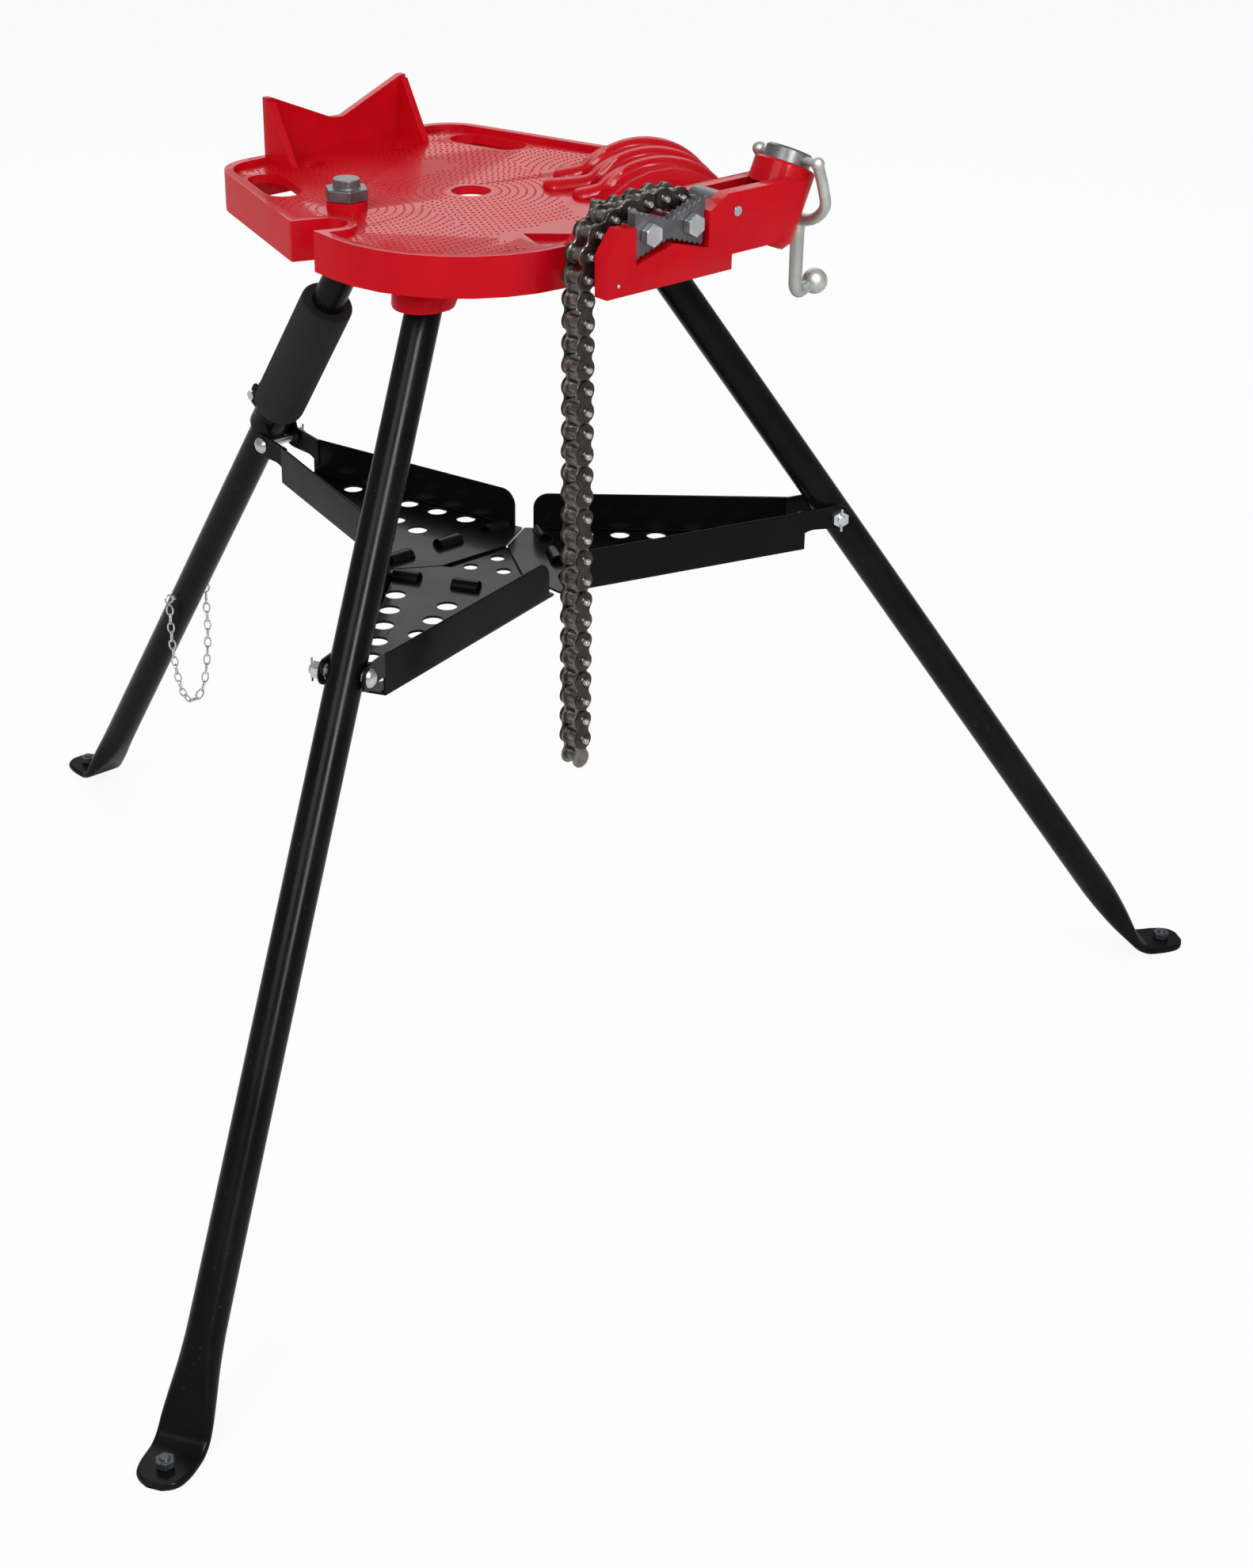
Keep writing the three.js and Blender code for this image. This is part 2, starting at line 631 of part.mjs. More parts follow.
function viseTable() {
  const far = 400;
  const bosses = LEGS.map(legBoss).map((cone) => overlap(cone, box(-far, far, -far, far, 0, DECK_TOP - 2)));
  const brace = rodZ(BRACE_BOSS_RADIUS, RIM_BOTTOM, BRACE_BOSS_TOP, 20).translate(...BRACE_CENTRE, 0);
  const deck = join(deckTray(), notch(2 * NOTCH_HALF_WIDTH + 2 * RIM_WALL, RIM_BOTTOM, RIM_TOP));
  const kept = overlap(deck, slab(tableOutline(0), RIM_BOTTOM - 1, RIM_TOP + 1, 4));
  const body = join(cut(kept, benderHollow()), bender(), ...bosses, brace, rearRest(), viseBase(), sleeve());
  const bolts = [-1, 1].map((side) =>
    rodX(JAW_BOLT_RADIUS + FIT, CHAIN_X - VISE_OUTER, CHAIN_X + VISE_OUTER, 12).translate(
      0,
      side * JAW_BOLT_SPREAD,
      JAW_CENTRE_HEIGHT,
    ),
  );
  const through = [RIM_BOTTOM - 30, RIM_TOP + 10];
  const smallHole = (side) =>
    rodZ(SMALL_HOLE[2], ...through, 14).translate(SMALL_HOLE[0], side * SMALL_HOLE[1], 0);
  return cut(
    body,
    ...LEGS.map(legSweep),
    ...LEGS.map(pivotHole),
    notch(2 * NOTCH_HALF_WIDTH, RIM_BOTTOM - 5, RIM_TOP + 5),
    rodZ(CENTRE_HOLE[2], ...through, 24).translate(CENTRE_HOLE[0], CENTRE_HOLE[1], 0),
    deckSlot(1),
    deckSlot(-1),
    smallHole(1),
    smallHole(-1),
    rodZ(BRACE_STEM_RADIUS + FIT, RIM_BOTTOM - 5, BRACE_BOSS_TOP + 5, 14).translate(...BRACE_CENTRE, 0),
    alongSleeve(rodZ(SLEEVE_BORE / 2, -SLEEVE_LENGTH - 5, 5, 24)),
    chainWay(),
    ...bolts,
    rodX(ROLLER_PIN_RADIUS + FIT, CHAIN_X - 2 * VISE_OUTER, CHAIN_X + 2 * VISE_OUTER, 12).translate(
      0,
      ...ROLLER_CENTRE,
    ),
    rodX(KEEPER_PIN_RADIUS + FIT, CHAIN_X - VISE_OUTER - 1, CHAIN_X + 2 * VISE_OUTER, 8).translate(
      0,
      ...KEEPER_PIN_CENTRE,
    ),
  );
}

// Jaws and their bolts
function jaw(from) {
  const holes = [-1, 1].map((side) =>
    rodX(JAW_BOLT_RADIUS + FIT, from - 1, from + JAW_THICKNESS + 1, 12).translate(
      0,
      side * JAW_BOLT_SPREAD,
      JAW_CENTRE_HEIGHT,
    ),
  );
  return cut(slabX(jawOutline(), from, from + JAW_THICKNESS), ...holes);
}

function jawBolt(side) {
  const frontFace = CHAIN_X + JAW_INNER + FIT + JAW_THICKNESS + FIT;
  const rearFace = CHAIN_X - JAW_INNER - FIT - JAW_THICKNESS - FIT;
  return join(
    rodX(JAW_BOLT_RADIUS, rearFace - JAW_BOLT_HEAD_HEIGHT + 1, frontFace + 1, 12),
    rodX(JAW_BOLT_HEAD, frontFace, frontFace + JAW_BOLT_HEAD_HEIGHT, 6),
    rodX(JAW_BOLT_HEAD, rearFace - JAW_BOLT_HEAD_HEIGHT, rearFace, 6),
  ).translate(0, side * JAW_BOLT_SPREAD, JAW_CENTRE_HEIGHT);
}

// Chain links drawn hanging from the origin, pins along X
function hexagon(radius, z) {
  const points = [0, 1, 2, 3, 4, 5].map((i) => {
    const angle = (i * Math.PI) / 3;
    return new THREE.Vector2(radius * Math.cos(angle), z + radius * Math.sin(angle));
  });
  return new THREE.Shape(points);
}

function plateShape(holeRadius) {
  const shape = new THREE.Shape();
  shape.absarc(0, 0, PLATE_RADIUS, rad(-40), rad(220), false);
  shape.absarc(0, -PITCH, PLATE_RADIUS, rad(140), rad(400), false);
  if (holeRadius > 0) {
    shape.holes.push(hexagon(holeRadius, 0), hexagon(holeRadius, -PITCH));
  }
  return shape;
}

function plate(from, holeRadius) {
  return slabX(plateShape(holeRadius), from, from + PLATE_THICKNESS, 2);
}

function bush(z, holeRadius) {
  const tube = hexagon(BUSH_RADIUS, 0);
  if (holeRadius > 0) {
    tube.holes.push(hexagon(holeRadius, 0));
  }
  const half = CHAIN_INNER_HALF + PLATE_THICKNESS / 2;
  return slabX(tube, -half, half).translate(0, 0, z);
}

function innerLink(holeRadius) {
  const near = plate(CHAIN_INNER_HALF, holeRadius);
  const far = plate(-CHAIN_INNER_HALF - PLATE_THICKNESS, holeRadius);
  return join(near, far, bush(0, holeRadius), bush(-PITCH, holeRadius));
}

function outerLink() {
  const near = plate(OUTER_PLATE, 0);
  const far = plate(-CHAIN_HALF, 0);
  const pinEnd = CHAIN_HALF + CHAIN_PIN_STAND_OUT;
  const pin = (z) => rodX(CHAIN_PIN_RADIUS, -CHAIN_HALF + 0.5, pinEnd, 6).translate(0, 0, z);
  return join(near, far, pin(0), pin(-PITCH));
}

// The chain's line over the jaws: from the screw's eye under the roller, over the jaws and down the slot
function seatedPins() {
  const under = ROLLER_CENTRE[1] - ROLLER_RADIUS - PLATE_RADIUS - 2 * FIT;
  const line = new THREE.CatmullRomCurve3(
    [
      EYE,
      [ROLLER_CENTRE[0] + 38, under + 2],
      [ROLLER_CENTRE[0] + 18, under + 0.3],
      [ROLLER_CENTRE[0], under],
      [ROLLER_CENTRE[0] - 14, under + 5],
      [ROLLER_CENTRE[0] - 24, under + 19],
      [ROLLER_CENTRE[0] - 35, CHAIN_TOP_Z - 7],
      [ROLLER_CENTRE[0] - 54, CHAIN_TOP_Z],
      [0, CHAIN_TOP_Z - 0.2],
      [HANG_Y + 57, CHAIN_TOP_Z - 1.5],
      [HANG_Y + 38, CHAIN_TOP_Z - 5],
      [HANG_Y + 20, CHAIN_TOP_Z - 11],
      [HANG_Y + 6, HANG_START + 23],
      [HANG_Y, HANG_START + 3],
      [HANG_Y, HANG_START - 60],
    ].map(([y, z]) => new THREE.Vector3(0, y, z)),
    false,
    "centripetal",
  );
  const fine = line.getPoints(3000);
  const pins = [fine[0]];
  fine.forEach((point) => {
    const last = pins[pins.length - 1];
    const hanging = last.z < HANG_START + 6 && last.y < HANG_Y + 2;
    if (!hanging && point.distanceTo(last) >= PITCH) {
      pins.push(point.clone().sub(last).setLength(PITCH).add(last));
    }
  });
  return pins;
}

const PINS = seatedPins();
const HANG_TOP = PINS[PINS.length - 1];

function seatedChain() {
  const count = PINS.length - 1;
  const links = [];
  for (let i = 0; i < count; i += 1) {
    const outer = (count - 1 - i) % 2 === 0;
    const [from, to] = [PINS[i], PINS[i + 1]];
    const turn = Math.atan2(to.y - from.y, -(to.z - from.z));
    links.push((outer ? outerLink() : innerLink(0)).rotateX(turn).translate(0, from.y, from.z));
  }
  const eyePin = rodX(CHAIN_PIN_RADIUS, -CHAIN_HALF - 3, CHAIN_HALF + 3, 6).translate(0, PINS[0].y, PINS[0].z);
  return join(...links, eyePin).translate(CHAIN_X, 0, 0);
}

function hangingLinks() {
  const meshes = [];
  for (let i = 0; i < HANGING_LINKS; i += 1) {
    const inner = i % 2 === 0;
    const name = "chain_link_" + String(i + 1).padStart(2, "0");
    const mesh = named(name, inner ? innerLink(PIN_HOLE_RADIUS) : outerLink(), inner ? CHAIN_BRIGHT : CHAIN_STEEL);
    mesh.position.set(CHAIN_X, HANG_TOP.y, HANG_TOP.z - i * PITCH);
    meshes.push(mesh);
  }
  return meshes;
}

// Roller, its pin and the keeper pin
function chainRoller() {
  const half = CHANNEL_HALF - 1;
  return cut(rodX(ROLLER_RADIUS, -half, half, 20), rodX(ROLLER_BORE_RADIUS, -half - 1, half + 1, 14));
}

// Tension screw with its slotted fork, drawn with depth downwards from the sleeve's rim
function tensionScrew() {
  const cheekInner = CHAIN_HALF + FIT;
  const cheekOuter = cheekInner + FORK_CHEEK;
  const crown = SCREW_EYE_DEPTH - FORK_CLEAR;
  const tip = SCREW_EYE_DEPTH + FORK_TIP;
  const cheek = (from, to) => box(from, to, -FORK_HALF_WIDTH, FORK_HALF_WIDTH, -tip, -crown + 2);
  const eye = slabX(obround(2 * PIN_HOLE_RADIUS + 2, 2 * PIN_HOLE_RADIUS), -cheekOuter - 8, cheekOuter + 8, 4)
    .rotateX(Math.PI / 2)
    .translate(0, 0, -SCREW_EYE_DEPTH);
  const rod = rodZ(SCREW_RADIUS, -crown + 1, NUT_HEIGHT - NUT_CAP - 1, 16);
  const bridge = overlap(
    rodZ(cheekOuter + 1.5, -crown, -crown + 6, 20),
    box(-cheekOuter, cheekOuter, -FORK_HALF_WIDTH - 4, FORK_HALF_WIDTH + 4, -SLEEVE_LENGTH, 0),
  );
  return cut(join(rod, bridge, cheek(cheekInner, cheekOuter), cheek(-cheekOuter, -cheekInner)), eye);
}

function tensionNut() {
  const shank = SLEEVE_BORE / 2 - FIT;
  const bore = SCREW_RADIUS + FIT;
  const body = turned([
    [0, NUT_HEIGHT + FIT],
    [0, NUT_HEIGHT - NUT_CAP],
    [bore, NUT_HEIGHT - NUT_CAP],
    [bore, -NUT_SHANK_LENGTH],
    [shank, -NUT_SHANK_LENGTH],
    [shank, FIT],
    [NUT_RADIUS, FIT],
    [NUT_RADIUS, NUT_HEIGHT + FIT - 2],
    [NUT_RADIUS - 2, NUT_HEIGHT + FIT],
  ], 24);
  const hole = (from, to) => rodX(HANDLE_PIN_RADIUS + FIT, from, to, 10).translate(0, 0, FIT + NUT_HEIGHT / 2);
  const inner = bore + 2.5;
  return cut(body, hole(inner, NUT_RADIUS + 5), hole(-NUT_RADIUS - 5, -inner));
}

// Forked crank handle hanging from the nut, with a ball at the end
function crankHandle() {
  const [py, pz] = HANDLE_PIVOT;
  const [cy, cz] = HANDLE_CROTCH;
  const side = HANDLE_ARM_OFFSET;
  const arm = [
    [side, py, pz],
    [side, py + 0.55 * (cy - py), pz + 0.4 * (cz - pz)],
    [side * 0.95, py + 0.85 * (cy - py), pz + 0.7 * (cz - pz)],
    [side * 0.55, cy - 0.5, cz + 4],
  ];
  const points = [...arm, [0, cy, cz], ...arm.map(([x, y, z]) => [-x, y, z]).reverse()];
  const bow = new THREE.CatmullRomCurve3(points.map((p) => new THREE.Vector3(...p)));
  const section = new THREE.Shape().absarc(0, 0, HANDLE_ARM_RADIUS, 0, 2 * Math.PI, false);
  const swept = { bevelEnabled: false, curveSegments: 4 };
  const fork = new THREE.ExtrudeGeometry(section, { steps: 16, extrudePath: bow, ...swept });
  const pinTip = SCREW_RADIUS + FIT + 3;
  const pins = [-1, 1].map((s) =>
    rodX(HANDLE_PIN_RADIUS, Math.min(s * pinTip, s * side), Math.max(s * pinTip, s * side), 10).translate(0, py, pz),
  );
  const ends = [-1, 1].map((s) => new THREE.SphereGeometry(HANDLE_ARM_RADIUS + 1, 8, 6).translate(s * side, py, pz));
  const shank = rodZ(HANDLE_SHANK_RADIUS, HANDLE_END_HEIGHT, cz, 8).translate(0, cy, 0);
  const reach = new THREE.LineCurve3(
    new THREE.Vector3(0, cy, HANDLE_END_HEIGHT + HANDLE_SHANK_RADIUS),
    new THREE.Vector3(0, cy + KNOB_REACH, HANDLE_END_HEIGHT + KNOB_RISE),
  );
  const neckShape = new THREE.Shape().absarc(0, 0, HANDLE_SHANK_RADIUS - 0.7, 0, 2 * Math.PI, false);
  const neck = new THREE.ExtrudeGeometry(neckShape, { steps: 1, extrudePath: reach, ...swept });
  const heel = new THREE.SphereGeometry(HANDLE_SHANK_RADIUS, 8, 6).translate(0, cy, HANDLE_END_HEIGHT);
  const knobHeight = HANDLE_END_HEIGHT + KNOB_RISE;
  const knob = new THREE.SphereGeometry(KNOB_RADIUS, 12, 8).translate(0, cy + KNOB_REACH, knobHeight);
  return join(fork, ...pins, ...ends, shank, neck, heel, knob).translate(CHAIN_X, 0, 0);
}

function braceScrew() {
  const seat = BRACE_BOSS_TOP + FIT;
  return join(
    rodZ(BRACE_STEM_RADIUS, seat - BRACE_STEM_LENGTH, seat + 1, 14),
    rodZ(BRACE_HEX_RADIUS, seat, seat + BRACE_HEX_HEIGHT, 6),
    rodZ(BRACE_TOP_RADIUS, seat + BRACE_HEX_HEIGHT - 1, seat + BRACE_HEX_HEIGHT + BRACE_TOP_HEIGHT, 16),
  ).translate(...BRACE_CENTRE, 0);
}

// Leg tube, flattened and bent into its foot, drawn in the leg's own vertical plane with X outwards
function footRing(reach, height, half, thick, lean) {
  const ring = [];
  for (let i = 0; i < LEG_SIDES; i += 1) {
    const angle = (2 * Math.PI * (i + 0.5)) / LEG_SIDES;
    const across = Math.sign(Math.cos(angle)) * (half - thick) + thick * Math.cos(angle);
    const up = thick * Math.sin(angle);
    ring.push(new THREE.Vector3(reach + up * Math.cos(rad(lean)), across, height + up * Math.sin(rad(lean))));
  }
  return ring;
}

function leg(pivotReach, pinned) {
  const axisReach = (height) => pivotReach + ((PIVOT_HEIGHT - height) * SIN_SPLAY) / COS_SPLAY;
  const floorReach = axisReach(0);
  const top = PIVOT_HEIGHT + LEG_ABOVE_PIVOT * COS_SPLAY;
  const half = FOOT_HALF_WIDTH;
  const flat = FOOT_THICKNESS / 2;
  const seat = flat * Math.cos(Math.PI / LEG_SIDES);
  const round = LEG_RADIUS;
  const tube = loft([
    footRing(axisReach(top), top, round, round - 0.01, LEG_SPLAY),
    footRing(axisReach(75), 75, round, round - 0.01, LEG_SPLAY),
    footRing(axisReach(50), 50, (round + half) / 2 - 1, round - 3, LEG_SPLAY),
    footRing(axisReach(28), 28, half - 1.5, flat + 5, LEG_SPLAY + 6),
    footRing(axisReach(12), 12, half, flat + 1, LEG_SPLAY + 22),
    footRing(floorReach + 2, seat + 0.6, half, flat + 0.2, LEG_SPLAY + 46),
    footRing(floorReach + 9, seat, half, flat, 90),
    footRing(floorReach + FOOT_REACH - 14, seat, half, flat, 90),
    footRing(floorReach + FOOT_REACH - 5, seat, half - 6, flat, 90),
    footRing(floorReach + FOOT_REACH, seat, half - 14, flat, 90),
  ]);
  const bore = rodZ(LEG_RADIUS - LEG_WALL, -(PIVOT_HEIGHT - 90) / COS_SPLAY, 2 * LEG_ABOVE_PIVOT, 12);
  const onAxis = (geometry) => geometry.rotateY(-rad(LEG_SPLAY)).translate(pivotReach, 0, PIVOT_HEIGHT);
  const cross = (depth, radius) => onAxis(rodY(radius + FIT, -LEG_OD, LEG_OD, 12).translate(0, 0, -depth));
  const holes = [cross(0, PIVOT_PIN_RADIUS)];
  if (pinned) {
    holes.push(cross(PIN_DROP / COS_SPLAY, TRAY_PIN_RADIUS));
  } else {
    holes.push(cross((PIVOT_HEIGHT - TIE_EYE_HEIGHT) / COS_SPLAY, TIE_WIRE));
  }
  const bolt = rodZ(FOOT_BOLT_RADIUS + FIT, -5, 20, 12).translate(floorReach + FOOT_BOLT_REACH, 0, 0);
  return cut(tube, onAxis(bore), ...holes, bolt);
}

function footBolt(pivotReach) {
  const reach = pivotReach + (PIVOT_HEIGHT * SIN_SPLAY) / COS_SPLAY + FOOT_BOLT_REACH;
  const seat = FOOT_THICKNESS;
  return join(
    rodZ(FOOT_BOLT_RADIUS, 1, seat + FOOT_NUT_HEIGHT + 2, 12),
    rodZ(FOOT_NUT_RADIUS, seat, seat + FOOT_NUT_HEIGHT, 6),
  ).translate(reach, 0, 0);
}

// Fittings drawn about the leg's axis, Z upwards along the leg from the pivot
function foamGrip() {
  const top = -(PIVOT_HEIGHT - GRIP_TOP_HEIGHT) / COS_SPLAY;
  const low = top - GRIP_LENGTH;
  const bore = LEG_RADIUS + FIT;
  const outer = GRIP_OD / 2;
  return turned([
    [bore, low],
    [outer - 5, low],
    [outer - 1.5, low + 2],
    [outer, low + 7],
    [outer, top - 2],
    [outer - 2, top],
    [bore, top],
  ], 24);
}

function collarTop() {
  return -(PIVOT_HEIGHT - GRIP_TOP_HEIGHT) / COS_SPLAY - GRIP_LENGTH - 4 * FIT;
}

function legCollar() {
  const top = collarTop();
  const low = top - COLLAR_LENGTH;
  const bore = LEG_RADIUS + FIT;
  const ring = turned([
    [bore, low],
    [COLLAR_OD / 2, low],
    [COLLAR_OD / 2, top],
    [bore, top],
  ], 24);
  const lugShape = new THREE.Shape();
  const pinZ = -rearPinAlong();
  const round = TRAY_PIN_RADIUS + 5;
  lugShape.moveTo(0, top);
  lugShape.lineTo(-REAR_PIN_OFFSET - round, low + 6);
  lugShape.absarc(-REAR_PIN_OFFSET, pinZ, round, Math.PI, 1.75 * Math.PI, false);
  lugShape.lineTo(0, low);
  const inner = bore + 0.05;
  const lug = (from, to) => slabY(lugShape, from, to, 5);
  const thick = EAR_OFFSET - FIT - inner;
  const ear = (from, to) => box(bore + 1, COLLAR_BOLT_REACH + 6, from, to, low + 4, top - 4);
  const pinHole = rodY(TRAY_PIN_RADIUS + FIT, -COLLAR_OD, COLLAR_OD, 12).translate(-REAR_PIN_OFFSET, 0, pinZ);
  const boltHole = rodY(3 + FIT, -COLLAR_OD, COLLAR_OD, 10).translate(COLLAR_BOLT_REACH, 0, (low + top) / 2);
  const body = join(
    ring,
    lug(inner, inner + thick),
    lug(-inner - thick, -inner),
    ear(1.5, 5.5),
    ear(-5.5, -1.5),
  );
  const slit = box(0, COLLAR_OD, -1.5, 1.5, low - 1, top + 1);
  const tube = rodZ(bore, low - 60, top + 1, 24);
  return cut(body, tube, slit, pinHole, boltHole);
}

function collarBolt() {
  const height = collarTop() - COLLAR_LENGTH / 2;
  return join(
    rodY(3, -10, 10, 10),
    rodY(5.5, 5.5 + FIT, 10, 6),
    rodY(5.5, -10, -5.5 - FIT, 6),
  ).translate(COLLAR_BOLT_REACH, 0, height);
}

// Distance of the rear tray pin below the pivot, measured along the leg
function rearPinAlong() {
  const across = TRAY_PIN_REACH - REAR_PIVOT_REACH;
  return PIN_DROP * COS_SPLAY + across * SIN_SPLAY;
}

// Tray, drawn with X as the reach from the tripod's centre
function flangeRun() {
  return Math.hypot(TRAY_FLOOR_END - TRAY_CORNER_REACH, TRAY_CORNER_HALF - EAR_OFFSET - TRAY_SHEET);
}

function flange(side) {
  const run = flangeRun();
  const low = TRAY_FLOOR_HEIGHT;
  const high = TRAY_FLANGE_TOP;
  const shape = new THREE.Shape();
  shape.moveTo(TRAY_FLANGE_SETBACK, low);
  shape.lineTo(run, low);
  shape.lineTo(run, high);
  shape.lineTo(TRAY_FLANGE_SETBACK + TRAY_FLANGE_ROUND, high);
  shape.absarc(
    TRAY_FLANGE_SETBACK + TRAY_FLANGE_ROUND,
    high - TRAY_FLANGE_ROUND,
    TRAY_FLANGE_ROUND,
    Math.PI / 2,
    Math.PI,
    false,
  );
  const fall = Math.atan2(TRAY_CORNER_HALF - EAR_OFFSET - TRAY_SHEET, TRAY_FLOOR_END - TRAY_CORNER_REACH);
  const [from, to] = side > 0 ? [-TRAY_SHEET, 0] : [0, TRAY_SHEET];
  return slabY(shape, from, to, 3)
    .rotateZ(-side * fall)
    .translate(TRAY_CORNER_REACH, side * TRAY_CORNER_HALF, 0);
}

function trayEar(side) {
  const shape = new THREE.Shape();
  const low = TRAY_PIN_HEIGHT - EAR_RADIUS;
  const high = TRAY_PIN_HEIGHT + EAR_RADIUS;
  shape.moveTo(TRAY_FLOOR_END - 8, low - 8);
  shape.quadraticCurveTo(TRAY_FLOOR_END + 2, low, TRAY_FLOOR_END + 10, low);
  shape.lineTo(TRAY_PIN_REACH, low);
  shape.absarc(TRAY_PIN_REACH, TRAY_PIN_HEIGHT, EAR_RADIUS, -Math.PI / 2, Math.PI / 2, false);
  shape.lineTo(TRAY_FLOOR_END - 8, TRAY_FLANGE_TOP);
  const [from, to] = [EAR_OFFSET, EAR_OFFSET + TRAY_SHEET];
  return slabY(shape, side > 0 ? from : -to, side > 0 ? to : -from, 4);
}

function loop(spread) {
  const half = LOOP_LENGTH / 2;
  const floorTop = TRAY_FLOOR_HEIGHT + TRAY_SHEET;
  const outer = rodY(LOOP_RADIUS + TRAY_SHEET, -half, half, 8);
  const upper = overlap(outer, box(-20, 20, -half, half, 0, 20));
  return upper.translate(LOOP_REACH, spread, floorTop - 1);
}

function loopBore(spread) {
  const half = LOOP_LENGTH / 2 + 1;
  return rodY(LOOP_RADIUS, -half, half, 8).translate(LOOP_REACH, spread, TRAY_FLOOR_HEIGHT + TRAY_SHEET - 1);
}

// Rows of holes: a pair of slanting rows beside a middle row
function trayHoles() {
  const step = 34;
  const rows = [];
  for (let i = 0; i < 5; i += 1) {
    const reach = TRAY_CORNER_REACH + 53 + i * step;
    const spread = 54 - i * 8.5;
    rows.push([reach, spread], [reach, -spread]);
  }
  for (let i = 0; i < 3; i += 1) {
    rows.push([TRAY_CORNER_REACH + 61 + i * step, 0]);
  }
  rows.push([TRAY_FLOOR_END - 27, 0]);
  return rows;
}

function trayPanel() {
  const endHalf = EAR_OFFSET + TRAY_SHEET;
  const floorShape = shapeOf([
    [TRAY_INNER_REACH, -TRAY_INNER_HALF],
    [TRAY_CORNER_REACH, -TRAY_CORNER_HALF],
    [TRAY_FLOOR_END, -endHalf],
    [TRAY_FLOOR_END, endHalf],
    [TRAY_CORNER_REACH, TRAY_CORNER_HALF],
    [TRAY_INNER_REACH, TRAY_INNER_HALF],
  ]);
  const spreads = [0, LOOP_SPREAD, -LOOP_SPREAD];
  const body = join(
    slab(floorShape, TRAY_FLOOR_HEIGHT, TRAY_FLOOR_HEIGHT + TRAY_SHEET),
    flange(1),
    flange(-1),
    trayEar(1),
    trayEar(-1),
    ...spreads.map(loop),
  );
  const holes = trayHoles().map(([reach, spread]) =>
    rodZ(TRAY_HOLE_RADIUS, TRAY_FLOOR_HEIGHT - 5, TRAY_FLOOR_HEIGHT + 8, 8).translate(reach, spread, 0),
  );
  const pin = rodY(TRAY_PIN_RADIUS + FIT, -60, 60, 12).translate(TRAY_PIN_REACH, 0, TRAY_PIN_HEIGHT);
  return cut(body, ...spreads.map(loopBore), ...holes, pin);
}

// Hub plate under the panels, carried by the rear panel
function trayHub() {
  const tip = 2 * HUB_INRADIUS;
  const shape = shapeOf([
    [-LOOP_REACH + 1, -LOOP_SPREAD],
    [-HUB_INRADIUS - 6, -tip * 0.82],
    [-HUB_INRADIUS + 1, -tip * 0.82],
    [tip, 0],
    [-HUB_INRADIUS + 1, tip * 0.82],
    [-HUB_INRADIUS - 6, tip * 0.82],
    [-LOOP_REACH + 1, LOOP_SPREAD],
  ]);
  const top = TRAY_FLOOR_HEIGHT - FIT;
  const holes = [0, 120, 240].map((angle) =>
    rodZ(HUB_HOLE_RADIUS, top - 10, top + 10, 12).translate(
      HUB_HOLE_REACH * Math.cos(rad(angle)),
      HUB_HOLE_REACH * Math.sin(rad(angle)),
      0,
    ),
  );
  return cut(slab(shape, top - TRAY_SHEET, top), ...holes);
}

// Tray pin with a domed head on one end and a castle nut and cotter on the other
function trayPin(spaced) {
  const seat = EAR_OFFSET + TRAY_SHEET + FIT;
  const pieces = [
    rodY(TRAY_PIN_RADIUS, -seat - 11, seat + 1, 8),
    overlap(
      new THREE.SphereGeometry(8.5, 10, 6).rotateX(Math.PI / 2).scale(1, 0.7, 1).translate(0, seat, 0),
      box(-10, 10, seat, seat + 10, -10, 10),
    ),
    rodY(8.2, -seat - 8, -seat, 6),
    rodZ(1.2, -11, 11, 4).translate(0, -seat - 9.5, 0),
  ];
  if (spaced) {
    const gap = [LEG_RADIUS + FIT, EAR_OFFSET - FIT];
    pieces.push(rodY(7, ...gap, 8), rodY(7, -gap[1], -gap[0], 8));
  }
  return join(...pieces);
}

// Tie chain hanging in a loop from an eye bolt through the rear leg
function tieLoop() {
  const hang = [
    [-TIE_EYE_REACH, 0],
    [-TIE_EYE_REACH + 1, -TIE_DROP * 0.45],
    [-TIE_EYE_REACH * 0.62, -TIE_DROP * 0.86],
    [0, -TIE_DROP],
    [TIE_EYE_REACH * 0.62, -TIE_DROP * 0.86],
    [TIE_EYE_REACH - 1, -TIE_DROP * 0.45],
    [TIE_EYE_REACH, 0],
  ];
  const line = new THREE.CatmullRomCurve3(hang.map(([y, z]) => new THREE.Vector3(0, y, z)));
  const ends = line.getSpacedPoints(TIE_LINKS);
  const links = [];
  for (let i = 0; i < TIE_LINKS; i += 1) {
    const along = ends[i + 1].clone().sub(ends[i]);
    const middle = ends[i].clone().lerp(ends[i + 1], 0.5);
    const link = new THREE.TorusGeometry(along.length() / 2, TIE_WIRE / 2, 4, 6)
      .scale(1, 0.6, 1)
      .rotateX(i % 2 === 0 ? Math.PI / 4 : -Math.PI / 4);
    const turn = new THREE.Quaternion().setFromUnitVectors(new THREE.Vector3(1, 0, 0), along.normalize());
    links.push(link.applyQuaternion(turn).translate(middle.x, middle.y, middle.z));
  }
  return join(...links);
}

function eyeBolt() {
  const ring = (side) =>
    new THREE.TorusGeometry(TIE_EYE_RADIUS, TIE_WIRE / 2, 5, 8)
      .rotateY(Math.PI / 2)
      .translate(0, side * TIE_EYE_REACH, 0);
  const end = TIE_EYE_REACH - TIE_EYE_RADIUS;
  return join(rodY(TIE_WIRE, -end, end, 8), ring(1), ring(-1));
}

// Assembly
const stand = new THREE.Group();

